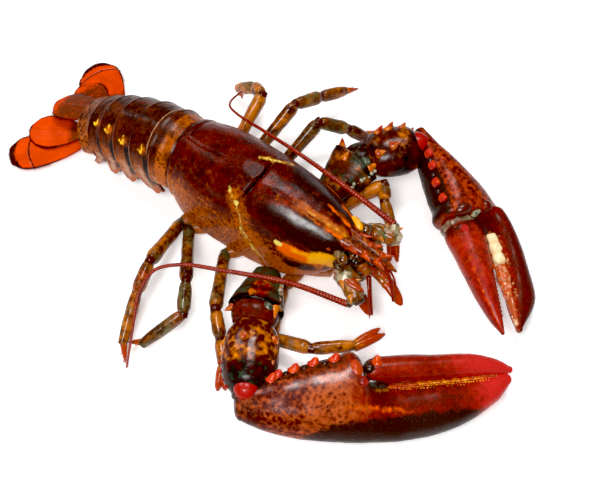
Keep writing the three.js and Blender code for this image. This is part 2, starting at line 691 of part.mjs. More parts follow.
for (const [name, { root, tip, rows, tilt }] of Object.entries(fanBlades)) {
  place(name, blade(vec(...root), vec(...tip).sub(vec(...root)), vec(0, tilt, 1), rows), "fanShell");
}

for (const side of sides) {
  const { hand, thumb } = buildClaw(side);
  place(`${side}_claw_hand`, carve(hand, forearm(side, shellGap)), "clawShell");
  place(`${side}_claw_thumb`, thumb, "clawShell");
  place(`${side}_upper_arm`, upperArm(side), "armShell");
  place(`${side}_forearm`, carve(forearm(side), upperArm(side, shellGap)), "armShell");
}

for (const name of legNames) {
  for (const [section, geometry] of Object.entries(legSections(name))) {
    place(`${name}_${section}`, geometry, "legShell");
  }
}

for (const side of sides) {
  place(`${side}_eye`, eyeball(side), "eye");
  place(`${side}_antenna_base`, antennaBase(side), "legShell");
  place(`${side}_antenna`, whip(antennae[side].path, 1.6, 0.5, 28, 5), "whisker");
  place(`${side}_antennule`, whip(headPieces.antennule[side], 1.1, 0.4, 6, 5), "whisker");
  place(`${side}_jaw_leg`, whip(headPieces.jawLeg[side], 2.6, 1.4, 7, 6), "legShell");
}

export default lobster;
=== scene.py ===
# %% [markdown]
# # A cooked lobster
# This notebook dresses a lobster that already exists as plain solids: a back shell, six tail rings, a fan
# of five blades, two claws on jointed arms, eight walking legs and the small parts of the head.
# Each solid says where a piece is and how large it is. Each cell below models one piece again with a fine
# mesh and paints it, so that it looks like wet, boiled shell.

# %% Open the solids
import bpy
import numpy as np
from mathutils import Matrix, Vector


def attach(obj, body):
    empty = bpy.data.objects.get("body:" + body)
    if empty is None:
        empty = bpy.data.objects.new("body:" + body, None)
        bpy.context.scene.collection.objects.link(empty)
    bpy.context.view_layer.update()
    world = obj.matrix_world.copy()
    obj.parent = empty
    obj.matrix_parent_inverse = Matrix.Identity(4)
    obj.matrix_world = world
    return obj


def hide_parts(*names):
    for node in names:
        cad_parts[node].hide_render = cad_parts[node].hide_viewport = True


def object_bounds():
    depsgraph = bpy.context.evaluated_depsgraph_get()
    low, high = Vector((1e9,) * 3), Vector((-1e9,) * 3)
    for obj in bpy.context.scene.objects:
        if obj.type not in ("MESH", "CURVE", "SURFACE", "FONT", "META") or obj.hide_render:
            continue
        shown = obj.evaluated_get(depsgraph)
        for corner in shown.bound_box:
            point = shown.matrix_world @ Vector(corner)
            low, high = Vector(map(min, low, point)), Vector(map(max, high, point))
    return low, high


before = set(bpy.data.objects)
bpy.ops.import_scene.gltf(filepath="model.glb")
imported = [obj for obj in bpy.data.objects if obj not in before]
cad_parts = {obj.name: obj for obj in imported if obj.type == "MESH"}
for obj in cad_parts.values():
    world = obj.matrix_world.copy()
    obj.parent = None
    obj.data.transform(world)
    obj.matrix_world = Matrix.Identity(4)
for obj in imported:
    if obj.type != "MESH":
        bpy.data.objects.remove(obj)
solid_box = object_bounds()
MM = 0.001  # every size below is in millimetres, and a mesh is in metres
random = np.random.default_rng(11)
print("solids:", len(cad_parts), "box:", [round(c / MM, 1) for corner in solid_box for c in corner])

# %% [markdown]
# ## Working with whole grids of points
# A shell is a smooth skin with relief on it. It could be sculpted by hand, but then nobody could change it
# later. Here each skin is a grid of points that formulas bend, so numpy does the shaping: a few small
# helpers for smooth steps, smooth tables and soft random lumps are all that it takes.

# %% Small maths for shells
def vec(*xyz):
    return np.array(xyz, float)


def unit(v):
    return v / np.maximum(np.linalg.norm(v, axis=-1, keepdims=True), 1e-12)


def mix(a, b, t):
    return a + (b - a) * t


def smooth(x, low, high):
    """0 below low, 1 above high, with a soft step between them."""
    t = np.clip((np.asarray(x, float) - low) / (high - low), 0, 1)
    return t * t * (3 - 2 * t)


def bump_at(x, middle, width):
    """1 at the middle, falling off softly to both sides."""
    return np.exp(-(((x - middle) / width) ** 2))


def strongest(first, *more):
    """The strongest of several masks at each point."""
    for mask in more:
        first = np.maximum(first, mask)
    return first


def once_around(sides):
    """The angles of a ring's points."""
    return np.linspace(0, 2 * np.pi, sides, endpoint=False)


def curve(a, b, leave, reach, t):
    """A cubic curve from a to b that leaves the one and reaches the other with the given slopes."""
    bent = a * (2 * t**3 - 3 * t**2 + 1) + b * (3 * t**2 - 2 * t**3)
    return bent + leave * (t**3 - 2 * t**2 + t) + reach * (t**3 - t**2)


def profile(rows):
    """Rows of [x, a, b, ...] as a smooth function that gives the columns [a, b, ...] at any x."""
    rows = np.array(rows, float)
    at, values = rows[:, 0], rows[:, 1:]
    order = np.arange(len(at))
    before, after = np.maximum(order - 1, 0), np.minimum(order + 1, len(at) - 1)
    slopes = (values[after] - values[before]) / (at[after] - at[before])[:, None]

    def value(x):
        x = np.asarray(x, float)
        i = np.clip(np.searchsorted(at, x) - 1, 0, len(at) - 2)
        span = (at[i + 1] - at[i])[..., None]
        t = np.clip((x - at[i])[..., None] / span, 0, 1)
        return np.moveaxis(curve(values[i], values[i + 1], span * slopes[i], span * slopes[i + 1], t), -1, 0)

    return value


scatter, shake = (73856093, 19349663, 83492791), 1274126177  # large odd numbers that mix up the digits of a place
seed_step = 17.17  # how far apart two seeds look at the same field of hills


def lumps(points, size, seed=0):
    """Smooth random heights from -1 to 1, with hills about `size` millimetres across."""
    place = np.asarray(points, float) / size + seed * seed_step
    cell = np.floor(place).astype(np.int64)
    part = smooth(place - cell, 0, 1)
    total = np.zeros(place.shape[:-1])
    for corner in np.ndindex(2, 2, 2):
        digits = (cell + np.array(corner)) * scatter
        mixed = digits[..., 0] ^ digits[..., 1] ^ digits[..., 2]
        mixed = ((mixed ^ (mixed >> 13)) * shake) & 0x7FFFFFFF
        height = ((mixed ^ (mixed >> 15)) & 0xFFFF) / 32767.5 - 1
        total += height * np.prod(np.where(np.array(corner) == 1, part, 1 - part), axis=-1)
    return total


def near_line(points, line, width, edge=0.6, ragged=0, seed=0):
    """A painter's stroke: 1 close to a line through places on the animal, 0 beyond `width`."""
    line = np.array(line, float)
    away = np.full(points.shape[:-1], 1e9)
    for a, b in zip(line, line[1:] if len(line) > 1 else line):
        run = b - a
        t = np.clip(((points - a) @ run) / max(run @ run, 1e-9), 0, 1)
        away = np.minimum(away, np.linalg.norm(points - (a + t[..., None] * run), axis=-1))
    away = away + ragged * lumps(points, width * 0.9, seed)
    return 1 - smooth(away, width * (1 - edge), width)


def mirrored(line):
    return [(x, -y, z) for x, y, z in line]


print("hills of 5 mm at the origin:", round(float(lumps(vec(0, 0, 0), 5, 1)), 3))

# %% [markdown]
# ## From grids to meshes
# Most pieces of a lobster are tubes that swell and shrink: a claw, a leg, the back. A *loft* makes such a
# form from rings of points. The tail rings and the fan are thin plates, so they are made from an outer and
# an inner sheet that are joined along the border. Every point may also carry *masks*, numbers from 0 to 1
# that say how much of a colour lies there. The materials read them by name.

# %% A lump of clay that collects skins, and the mesh that it becomes
class Clay:
    """The points, faces and masks of one piece, in millimetres."""

    def __init__(self):
        self.points, self.faces, self.masks, self.count = [], [], [], 0

    def add(self, points, faces, masks):
        """Takes in one closed skin. If its faces look inwards, they are turned round."""
        points = np.asarray(points, float).reshape(-1, 3)
        volume = 0
        for corners in (points[f] for f in faces):
            first, second, third, last = (corners[:, k] for k in (0, 1, -2, -1))
            volume += np.einsum("ij,ij->", first, np.cross(second, last))
            if corners.shape[1] == 4:
                volume += np.einsum("ij,ij->", second, np.cross(third, last))
        for f in faces:
            self.faces.append((f if volume > 0 else f[:, ::-1]) + self.count)
        self.points.append(points)
        self.masks.append({name: np.broadcast_to(mask, len(points)) for name, mask in masks.items()})
        self.count += len(points)


def strip_faces(rows, columns, around):
    """The quads of a grid; `around` joins its last column to its first."""
    r = np.arange(rows - 1)[:, None]
    c = np.arange(columns if around else columns - 1)[None, :]
    a, b = r * columns + c, r * columns + (c + 1) % columns
    return np.stack([a, b, b + columns, a + columns], -1).reshape(-1, 4)


def loft(clay, rings, **masks):
    """A closed skin over rings of points, with a fan over each end. Masks have the rings' shape."""
    rows, sides = rings.shape[:2]
    points = np.concatenate([rings.reshape(-1, 3), [rings[0].mean(0), rings[-1].mean(0)]])
    s = np.arange(sides)
    last = (rows - 1) * sides
    first_fan = np.stack([np.full(sides, rows * sides), (s + 1) % sides, s], -1)
    last_fan = np.stack([np.full(sides, rows * sides + 1), last + s, last + (s + 1) % sides], -1)
    full = {}
    for name, mask in masks.items():
        mask = np.broadcast_to(mask, (rows, sides))
        full[name] = np.concatenate([mask.reshape(-1), [mask[0].mean(), mask[-1].mean()]])
    clay.add(points, [strip_faces(rows, sides, True), first_fan, last_fan], full)


def plate(clay, outer, inner, **masks):
    """A thin closed plate between two sheets over the same grid."""
    rows, columns = outer.shape[:2]
    below = rows * columns
    top = strip_faces(rows, columns, False)
    index = np.arange(below).reshape(rows, columns)
    border = np.concatenate([index[0], index[1:, -1], index[-1, -2::-1], index[-2:0:-1, 0]])
    onward = np.roll(border, -1)
    rim = np.stack([onward, border, border + below, onward + below], -1)
    points = np.concatenate([outer.reshape(-1, 3), inner.reshape(-1, 3)])
    full = {name: np.tile(np.broadcast_to(mask, (rows, columns)).reshape(-1), 2) for name, mask in masks.items()}
    clay.add(points, [top, top[:, ::-1] + below, rim], full)


def swell(grid, height, around=True):
    """Moves each point of a grid out along the surface's own normal."""
    along = np.gradient(grid, axis=0)
    across = np.roll(grid, -1, 1) - np.roll(grid, 1, 1) if around else np.gradient(grid, axis=1)
    normal = unit(np.cross(along, across))
    middle = grid.mean(axis=1, keepdims=True)
    normal = normal * np.sign(((grid - middle) * normal).sum(-1).mean() or 1)
    return grid + normal * np.broadcast_to(height, grid.shape[:2])[..., None]


made = []  # the name and the number of faces of every piece


def finish_piece(name, clay, material, *solids):
    """Turns clay into a smooth mesh that stands for the named solids and stays inside the box of all the solids."""
    mesh = bpy.data.meshes.new(name)
    points = np.clip(np.concatenate(clay.points) * MM, *np.array(solid_box))
    mesh.from_pydata(points.tolist(), [], [face for group in clay.faces for face in group.tolist()])
    for mask in sorted({k for masks in clay.masks for k in masks}):
        values = np.concatenate([m.get(mask, np.zeros(len(p))) for m, p in zip(clay.masks, clay.points)])
        layer = mesh.attributes.new(mask, "FLOAT", "POINT")
        layer.data.foreach_set("value", np.clip(values, 0, 1).astype(np.float32))
    mesh.shade_smooth()
    mesh.materials.append(material)
    piece = bpy.data.objects.new(name, mesh)
    bpy.context.collection.objects.link(piece)
    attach(piece, "root")
    if solids:
        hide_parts(*solids)
    made.append((name, len(mesh.polygons)))


# %% [markdown]
# ## Rings, limbs, spines and knobs
# These are the words that the pieces are spelled with. A limb runs from one joint to the next and has a
# table of half widths. Spines are cones whose sides curve a little, and knobs are the smooth round ends
# that the shell has at its hinges.

# %% The forms that come back all over the animal
def oval(angle, power=2):
    """Sideways and upward share of an oval at an angle; squarer as the power grows."""
    return tuple(np.sign(x) * np.abs(x) ** (2 / power) for x in (np.cos(angle), np.sin(angle)))


def frame_of(forward):
    """The sideways and the upward direction of something that points forward."""
    side = unit(np.cross(vec(0, 0, 1), forward))
    return side, unit(np.cross(forward, side))


def rings_round(path, side, up, aside, above):
    """Rings round a path: each point lies so far aside of it and so far above it."""
    side, up = np.broadcast_to(side, path.shape)[:, None], np.broadcast_to(up, path.shape)[:, None]
    return path[:, None] + aside[..., None] * side + above[..., None] * up


def tube(path, side, up, width, height, sides):
    """Oval rings of the given half width and half height round a path."""
    angle = once_around(sides)
    return rings_round(path, side, up, width * np.cos(angle), height * np.sin(angle))


def limb_rings(start, end, rows, sides=40, count=48, power=2):
    """The rings of a limb section, each ring's share t of the length, and the angles of its points.

    Rows are [share of the length, half width, half height]."""
    forward = end - start
    side, up = frame_of(unit(forward))
    t, angle = np.linspace(0, 1, count)[:, None], once_around(sides)
    width, height = profile(rows)(t)
    across, above = oval(angle, power)
    return rings_round(start + t * forward, side, up, width * across, height * above), t, angle


def rounded(rings, t, depth, share, steps):
    """Adds a few shrinking rings to both ends, so that a limb ends in a soft shoulder, not a flat cut."""
    ends = []
    for ring, beside in ((rings[0], rings[1]), (rings[-1], rings[-2])):
        out = unit((ring - beside).mean(0)) * depth
        turn = np.linspace(0, np.pi / 2, steps + 1)[1:]
        middle = ring.mean(0)
        scale = 1 - share * 4 * (1 - np.cos(turn)) * 0.9
        ends.append(np.stack([middle + (ring - middle) * k + out * np.sin(a) for k, a in zip(scale, turn)]))
    more = np.zeros((steps, 1))
    return np.concatenate([ends[0][::-1], rings, ends[1]]), np.concatenate([more, t, more + 1])


def add_spine(clay, foot, direction, length, radius, bend=0, sides=12, taper=0.8, **masks):
    """A spine: a cone with a flared foot, that may bend upwards. A low taper makes a blunt round tooth."""
    aim = unit(np.asarray(direction, float))
    side, up = frame_of(aim)
    t = mix(-0.25, 1, np.sin(np.linspace(0, np.pi / 2, 12)))[:, None]
    size = radius * np.clip(1 - t, 0.01, 1.3) ** taper * (1 + 0.25 * bump_at(t, -0.1, 0.15))
    centre = foot + t * length * aim + bend * length * np.clip(t, 0, 1) ** 2 * up
    loft(clay, tube(centre, side, up, size, size, sides), **masks)


def add_knob(clay, centre, radii, turn=0, detail=14, lump=0, power=2, **masks):
    """A smooth round bump, such as a hinge's knuckle, or with a higher power a blocky one, such as a molar."""
    upright, level = oval(np.linspace(0.05, np.pi - 0.05, detail), power)
    ahead, aside = oval(once_around(detail * 2), power)
    ball = np.stack(np.broadcast_arrays(level[:, None] * ahead, level[:, None] * aside, upright[:, None]), -1)
    ball = ball * np.asarray(radii, float)
    c, s = np.cos(turn), np.sin(turn)
    ball = np.stack([ball[..., 0] * c - ball[..., 1] * s, ball[..., 0] * s + ball[..., 1] * c, ball[..., 2]], -1)
    ball = ball + centre
    if lump:
        ball = swell(ball, lump * lumps(ball, 1.6, 3))
    loft(clay, ball, **masks)


def walk_along(line):
    """How far each point of a line lies from its start, along the line."""
    return np.concatenate([[0], np.cumsum(np.linalg.norm(np.diff(line, axis=0), axis=1))])


def read_along(values, walk, places):
    return np.stack([np.interp(places, walk, values[:, k]) for k in range(3)], -1)


def smooth_path(points, count):
    """Evenly spaced places on a smooth curve through the points, and its directions there."""
    p = np.array(points, float)
    p = np.concatenate([[2 * p[0] - p[1]], p, [2 * p[-1] - p[-2]]])
    fine = []
    for i in range(1, len(p) - 2):
        a, b, c, d = p[i - 1 : i + 3]
        ab, bc, cd = (np.sqrt(np.linalg.norm(v)) for v in (b - a, c - b, d - c))
        leave = ((b - a) / ab - (c - a) / (ab + bc) + (c - b) / bc) * bc
        reach = ((c - b) / bc - (d - b) / (bc + cd) + (d - c) / cd) * bc
        t = np.linspace(0, 1, 60, endpoint=False)[:, None]
        fine.append(curve(b, c, leave, reach, t))
    fine = np.concatenate(fine + [p[-2][None]])
    walk = walk_along(fine)
    path = read_along(fine, walk, np.linspace(0, walk[-1], count))
    return path, unit(np.gradient(path, axis=0)), walk[-1]


print("rings of a limb:", limb_rings(vec(0, 0, 0), vec(9, 0, 0), [[0, 1, 1], [1, 1, 1]])[0].shape)


# %% [markdown]
# ## Paint for boiled shell
# A lobster's shell is never one colour. Under a clear wet gloss lies red-brown, with orange and yellow
# fields, and over it a dark pigment that breaks up into speckles at its borders. One way is to paint an
# image for every piece. The other way, used here, is a shader: masks on the mesh say roughly where a
# colour belongs, and a *speckle* group breaks the border of each mask into spots of a given size.
# A group is built once and used in every shell material with its own numbers.

# %% The speckle group: turns a soft mask into spots
def new_group(name, inputs, outputs):
    group = bpy.data.node_groups.new(name, "ShaderNodeTree")
    for title, default in inputs:
        group.interface.new_socket(title, in_out="INPUT", socket_type="NodeSocketFloat").default_value = default
    for title in outputs:
        group.interface.new_socket(title, in_out="OUTPUT", socket_type="NodeSocketFloat")
    return group, group.nodes.new("NodeGroupInput"), group.nodes.new("NodeGroupOutput")


def feed(tree, socket, value):
    """Feeds a socket from another socket or with a plain value."""
    if isinstance(value, bpy.types.NodeSocket):
        tree.links.new(value, socket)
    else:
        socket.default_value = value


def wire(tree, kind, settings=None, **inputs):
    """Adds a node, sets its options and feeds its inputs: i3 is the fourth input, Size_mm the one called Size mm."""
    node = tree.nodes.new(kind)
    for option, value in (settings or {}).items():
        setattr(node, option, value)
    for key, value in inputs.items():
        numbered = key[0] == "i" and key[1:].isdigit()
        feed(tree, node.inputs[int(key[1:]) if numbered else key.replace("_", " ")], value)
    return node


def maths(tree, operation, *values):
    inputs = {f"i{k}": value for k, value in enumerate(values)}
    return wire(tree, "ShaderNodeMath", {"operation": operation}, **inputs).outputs[0]


soft_step = {"interpolation_type": "SMOOTHSTEP"}


def speckle_group():
    group, enter, leave = new_group(
        "shell speckles",
        [("Coverage", 0.5), ("Size mm", 2), ("Softness", 0.1), ("Roundness", 0.5)],
        ["Mask"],
    )
    place = wire(group, "ShaderNodeTexCoord").outputs["Object"]
    scale = maths(group, "DIVIDE", 1 / MM, enter.outputs["Size mm"])
    noise = wire(group, "ShaderNodeTexNoise", Vector=place, Scale=scale, Detail=3, Roughness=0.6)
    clouds = wire(group, "ShaderNodeMapRange", i0=noise.outputs[0], i1=0.28, i2=0.72)
    cells = wire(group, "ShaderNodeTexVoronoi", Vector=place, Scale=scale)
    dots = wire(group, "ShaderNodeMapRange", i0=cells.outputs["Distance"], i1=0.8, i2=0.05)
    blend = wire(group, "ShaderNodeMix", i0=enter.outputs["Roundness"], i2=clouds.outputs[0], i3=dots.outputs[0])
    soft = enter.outputs["Softness"]
    wide = maths(group, "MULTIPLY_ADD", soft, 2, 1)
    level = maths(group, "SUBTRACT", maths(group, "MULTIPLY", enter.outputs["Coverage"], wide), soft)
    border = maths(group, "SUBTRACT", 1, level)
    low, high = maths(group, "SUBTRACT", border, soft), maths(group, "ADD", border, soft)
    mask = wire(group, "ShaderNodeMapRange", soft_step, i0=blend.outputs[0], i1=low, i2=high)
    feed(group, leave.inputs["Mask"], mask.outputs[0])
    return group


speckles = speckle_group()
print("group:", speckles.name, "with", len(speckles.nodes), "nodes")

# %% [markdown]
# The surface of the shell is smooth to the touch but not a mirror: it has fine pits, like an orange's
# skin, and low soft lumps. Both go into one *relief* group, because every shell piece has them at its own
# size. It puts out a height, which a Bump node in each material turns into light and shade, a value for
# the roughness, and the thickness of the wet film, which feeds the coat and breaks up over the lumps.

# %% The relief group: pits and lumps
def relief_group():
    group, enter, leave = new_group(
        "shell relief",
        [
            ("Pit mm", 1.2), ("Pit depth", 0.5), ("Lump mm", 4), ("Lump height", 0.5),
            ("Sheen low", 0.15), ("Sheen high", 0.35),
        ],
        ["Height", "Roughness", "Film"],
    )
    place = wire(group, "ShaderNodeTexCoord").outputs["Object"]
    pit_scale = maths(group, "DIVIDE", 1 / MM, enter.outputs["Pit mm"])
    cells = wire(group, "ShaderNodeTexVoronoi", {"feature": "SMOOTH_F1"}, Vector=place, Scale=pit_scale)
    pit = wire(group, "ShaderNodeMapRange", soft_step, i0=cells.outputs["Distance"], i1=0.05, i2=0.4)
    lump_scale = maths(group, "DIVIDE", 1 / MM, enter.outputs["Lump mm"])
    hills = wire(group, "ShaderNodeTexNoise", Vector=place, Scale=lump_scale, Detail=2)
    height = maths(group, "MULTIPLY", pit.outputs[0], enter.outputs["Pit depth"])
    height = maths(group, "MULTIPLY_ADD", hills.outputs[0], enter.outputs["Lump height"], height)
    sheen = wire(
        group, "ShaderNodeMapRange", i0=hills.outputs[0], i1=0.3, i2=0.7,
        i3=enter.outputs["Sheen low"], i4=enter.outputs["Sheen high"],
    )
    wet = wire(group, "ShaderNodeMapRange", i0=hills.outputs[0], i1=0.7, i2=0.3, i3=0.6, i4=1)
    for title, value in (("Height", height), ("Roughness", sheen.outputs[0]), ("Film", wet.outputs[0])):
        feed(group, leave.inputs[title], value)
    return group


relief = relief_group()
print("group:", relief.name, "with", len(relief.nodes), "nodes")

# %% [markdown]
# A shell paint is one material: two ground colours that drift into each other, then layers of colour over
# them, each broken up by the speckle group, and a coat for the wet film. Most layers are pigment, but a few
# masks paint light: painted highlights, painted reflections and painted shade. The coat is strong but thin, as
# water is on shell. Where the shell should show its own colour and not the haze of the room, the mesh
# carries a mask called *dry*, which thins the film. The Principled shader stays in the material, and the
# numbers that are the same all over the piece are set on its own sockets.

# %% Mixing one shell paint from a ground colour and layers
drift_mm, drift_softness = 9, 0.45
bump_distance = 0.4 * MM
film_index = 2  # a thin strong film: clear highlights, little haze at the edges
bare_shine = 0.1  # what the shell mirrors under the film


def linear(colour):
    """A hexadecimal colour as the linear values that shaders use."""
    parts = [((colour >> shift) & 255) / 255 for shift in (16, 8, 0)]
    return (*[c / 12.92 if c <= 0.04045 else ((c + 0.055) / 1.055) ** 2.4 for c in parts], 1)


def place_group(tree, group, **values):
    return wire(tree, "ShaderNodeGroup", {"node_tree": group}, **values)


def read_mask(tree, name):
    return wire(tree, "ShaderNodeAttribute", {"attribute_name": name}).outputs["Fac"]


def mix_colours(tree, share, under, over):
    return wire(tree, "ShaderNodeMix", {"data_type": "RGBA"}, i0=share, i6=under, i7=over).outputs[2]


def shell_paint(
    name, ground, layers, pits=(1.2, 0.5), hills=(4, 0.5), sheen=(0.2, 0.38), bump=0.2, coat=0.34, blur=0.17
):
    """Ground colours, then layers of (mask name, colour, spot size in mm, softness, roundness)."""
    material = bpy.data.materials.new(name)
    material.use_nodes = True
    tree = material.node_tree
    shader = tree.nodes["Principled BSDF"]
    drift = place_group(tree, speckles, Coverage=0.5, Size_mm=drift_mm, Softness=drift_softness, Roundness=0)
    colour = mix_colours(tree, drift.outputs[0], *map(linear, ground))
    for mask, paint, size, softness, roundness in layers:
        cover = read_mask(tree, mask)
        spots = place_group(tree, speckles, Coverage=cover, Size_mm=size, Softness=softness, Roundness=roundness)
        colour = mix_colours(tree, spots.outputs[0], colour, linear(paint))
    feed(tree, shader.inputs["Base Color"], colour)
    surface = place_group(
        tree, relief, Pit_mm=pits[0], Pit_depth=pits[1], Lump_mm=hills[0], Lump_height=hills[1],
        Sheen_low=sheen[0], Sheen_high=sheen[1],
    )
    feed(tree, shader.inputs["Roughness"], surface.outputs["Roughness"])
    dents = wire(tree, "ShaderNodeBump", Strength=bump, Distance=bump_distance, Height=surface.outputs["Height"])
    feed(tree, shader.inputs["Normal"], dents.outputs[0])
    wet = maths(tree, "MULTIPLY_ADD", read_mask(tree, "dry"), -coat, coat)
    feed(tree, shader.inputs["Coat Weight"], maths(tree, "MULTIPLY", surface.outputs["Film"], wet))
    for title, value in (("Coat Roughness", blur), ("Coat IOR", film_index), ("Specular IOR Level", bare_shine)):
        shader.inputs[title].default_value = value
    return material


# %% [markdown]
# Every kind of shell on the animal has its own paint. A row says which mask it reads, the colour as it
# would be picked, the size of the spots in millimetres, how soft their borders are and how round
# they are. The dark colours come first and the small bright accents last, because a later row covers an
# earlier one.

# %% The paints themselves
back_paint = shell_paint(
    "wet maroon back shell", (0x681c08, 0x480c03),
    [
        ("orange", 0xb25812, 2, 0.5, 0.2),
        ("red", 0x8c2408, 3, 0.45, 0),
        ("dark", 0x30120a, 2.6, 0.5, 0.3),
        ("specks", 0x4c1003, 1.3, 0.32, 0.6),
        ("tan", 0xb85e24, 2, 0.8, 0),
        ("glow", 0xf0680e, 2.4, 0.75, 0),
        ("amber", 0xffb422, 2.4, 0.8, 0),
        ("yellow", 0xf4dc70, 1.2, 0.6, 0),
        ("pale", 0xb88a6e, 3, 0.5, 0),
        ("black", 0x0e0402, 1.6, 0.5, 0),
    ],
    pits=(0.95, 0.9), sheen=(0.2, 0.36), bump=0.34, coat=0.42, blur=0.2,
)
tail_paint = shell_paint(
    "wet brown tail shell", (0x70300e, 0x561e06),
    [
        ("orange", 0xb45a14, 2, 0.48, 0.2),
        ("dark", 0x300e02, 2, 0.45, 0.35),
        ("specks", 0x3a1002, 1.5, 0.28, 0.6),
        ("pale", 0xb08468, 2, 0.6, 0),
        ("red", 0xb04c14, 2.4, 0.6, 0),
        ("yellow", 0xf4bc2c, 1.4, 0.5, 0),
        ("black", 0x160702, 2, 0.5, 0),
    ],
    pits=(0.9, 0.7), sheen=(0.26, 0.42), bump=0.3, coat=0.24, blur=0.24,
)
fan_paint = shell_paint(
    "orange fan shell", (0xdc4604, 0xc23c06),
    [
        ("brown", 0x6e2c0a, 1.8, 0.45, 0.2),
        ("red", 0x7c0f04, 1.6, 0.45, 0),
        ("dark", 0x380a02, 1.6, 0.42, 0.2),
    ],
    pits=(0.9, 0.4), hills=(3, 0.8), sheen=(0.34, 0.5), coat=0.03,
)
claw_paint = shell_paint(
    "wet red claw shell", (0x8c2408, 0x781a06),
    [
        ("orange", 0xb45426, 2.6, 0.45, 0.2),
        ("rust", 0xb4460e, 2.4, 0.42, 0.2),
        ("red", 0xc42e28, 3, 0.9, 0),
        ("maroon", 0x5c1c0c, 3.5, 0.45, 0),
        ("dark", 0x521006, 2.1, 0.3, 0.45),
        ("black", 0x361c14, 2.6, 0.48, 0.1),
        ("glow", 0xe0560c, 2.4, 0.45, 0),
        ("amber", 0xf08c18, 2, 0.45, 0),
        ("yellow", 0xe8b444, 1.2, 0.4, 0),
        ("green", 0x5c6450, 2.5, 0.45, 0),
        ("pale", 0xf4d8a8, 2, 0.5, 0),
    ],
    pits=(0.95, 1), sheen=(0.2, 0.34), bump=0.4, coat=0.36, blur=0.26,
)
arm_paint = shell_paint(
    "wet dark arm shell", (0x44200c, 0x5c240a),
    [
        ("orange", 0xd27418, 3, 0.36, 0.4),
        ("yellow", 0xe6a022, 2.4, 0.45, 0),
        ("red", 0x96200a, 3, 0.42, 0),
        ("ball", 0xa82018, 3, 0.45, 0),
        ("dark", 0x4c1004, 2.9, 0.27, 0.5),
        ("black", 0x120805, 3, 0.45, 0.2),
        ("green", 0x3c4432, 3, 0.42, 0),
        ("pale", 0xa8a48c, 2, 0.5, 0),
    ],
    pits=(0.9, 0.8), sheen=(0.18, 0.32), bump=0.34, coat=0.36, blur=0.22,
)
leg_paint = shell_paint(
    "glossy brown leg shell", (0x7a4016, 0x60300f),
    [
        ("orange", 0xc0701e, 3.2, 0.45, 0.1),
        ("red", 0xa83810, 2.8, 0.45, 0),
        ("amber", 0xf0a01c, 2.4, 0.45, 0),
        ("green", 0x686440, 2.8, 0.45, 0),
        ("dark", 0x421a06, 2.2, 0.34, 0.4),
        ("black", 0x1c1004, 2, 0.42, 0.2),
        ("pale", 0xc0b090, 2, 0.5, 0),
    ],
    pits=(0.9, 0.6), hills=(2.5, 0.8), sheen=(0.2, 0.36), bump=0.34, coat=0.28, blur=0.18,
)
# its pale layer is a painted highlight on the rings' swells, its dark layer painted shade between them
whisker_paint = shell_paint(
    "dark red whisker", (0x942c12, 0x7a180a),
    [("pale", 0xc46a4c, 0.8, 0.5, 0), ("dark", 0x340602, 0.8, 0.4, 0)],
    pits=(0.6, 0.3), hills=(2, 0.3), sheen=(0.22, 0.36), coat=0.2,
)
belly_paint = shell_paint(
    "pale belly shell", (0xb06a34, 0x9a5020),
    [("dark", 0x5a2c12, 2, 0.4, 0.3), ("red", 0xa84018, 3, 0.45, 0)],
    pits=(1, 0.4), hills=(3, 0.6), sheen=(0.3, 0.5), coat=0.1,
)
skin_paint = shell_paint(
    "soft hinge skin", (0x48180a, 0x541c0a),
    [
        ("dark", 0x1c0a04, 1.5, 0.4, 0.2), ("red", 0x6a2010, 2, 0.45, 0),
        ("green", 0x5c6450, 2.5, 0.45, 0),
    ],
    pits=(0.7, 0.5), hills=(1.5, 1), sheen=(0.16, 0.34), coat=0.2,
)
eye_paint = shell_paint(
    "wet black eye", (0x080503, 0x100804), [("amber", 0xa85c10, 1.2, 0.5, 0)],
    pits=(0.3, 0.1), hills=(1, 0.1), sheen=(0.08, 0.14), bump=0.05, coat=0.8,
)
print("paints:", len(bpy.data.materials))

# %% [markdown]
# ## The back shell
# The carapace is one vaulted plate. Its cross-section is an oval that is widest low down, its crown rises
# from the rear to the middle and sinks to the beak, and a deep furrow, the neck groove, runs down both
# flanks. The simplest start is a loft along the animal with the groove pressed in by a formula, which
# keeps the plate's width and height exactly those of the solid.

# %% Sizes of the back shell
carapace_length, rostrum_length = 95, 27
carapace_rear = -50
carapace_front = carapace_rear + carapace_length
carapace_shape = profile([  # X: half width, crown, height of the widest part, height of the lower edge
    [carapace_rear, 20.8, 46, 24.5, 17],
    [-38, 24.8, 49, 18.5, 12.8],
    [-22, 25.6, 51.7, 15, 10.6],
    [-6, 25.3, 52.8, 14.4, 10.4],
    [10, 24.2, 52.1, 14.6, 10.6],
    [24, 22, 50, 17, 11.6],
    [35, 17.2, 47.6, 22, 14.5],
    [carapace_front - 2, 12, 45.3, 29, 20],
    [carapace_front + 2, 8, 43.5, 34, 28],
])
groove_line = profile([  # share of the way down the flank: X
    [0, -3], [0.16, -4.1], [0.22, -5], [0.3, -7.2], [0.36, -4.2], [0.44, -0.4], [0.53, 6.4], [0.6, 11.5],
    [0.75, 17], [1, 24],
])
rear_lean, lean_from = 0.18, 5  # the rear edge leans forward towards the skirt
groove_depth, groove_width, groove_end = 1, 1.05, 8  # it stops this far past the middle line
groove_slit = 0.7  # the sharp line at the bottom of the furrow


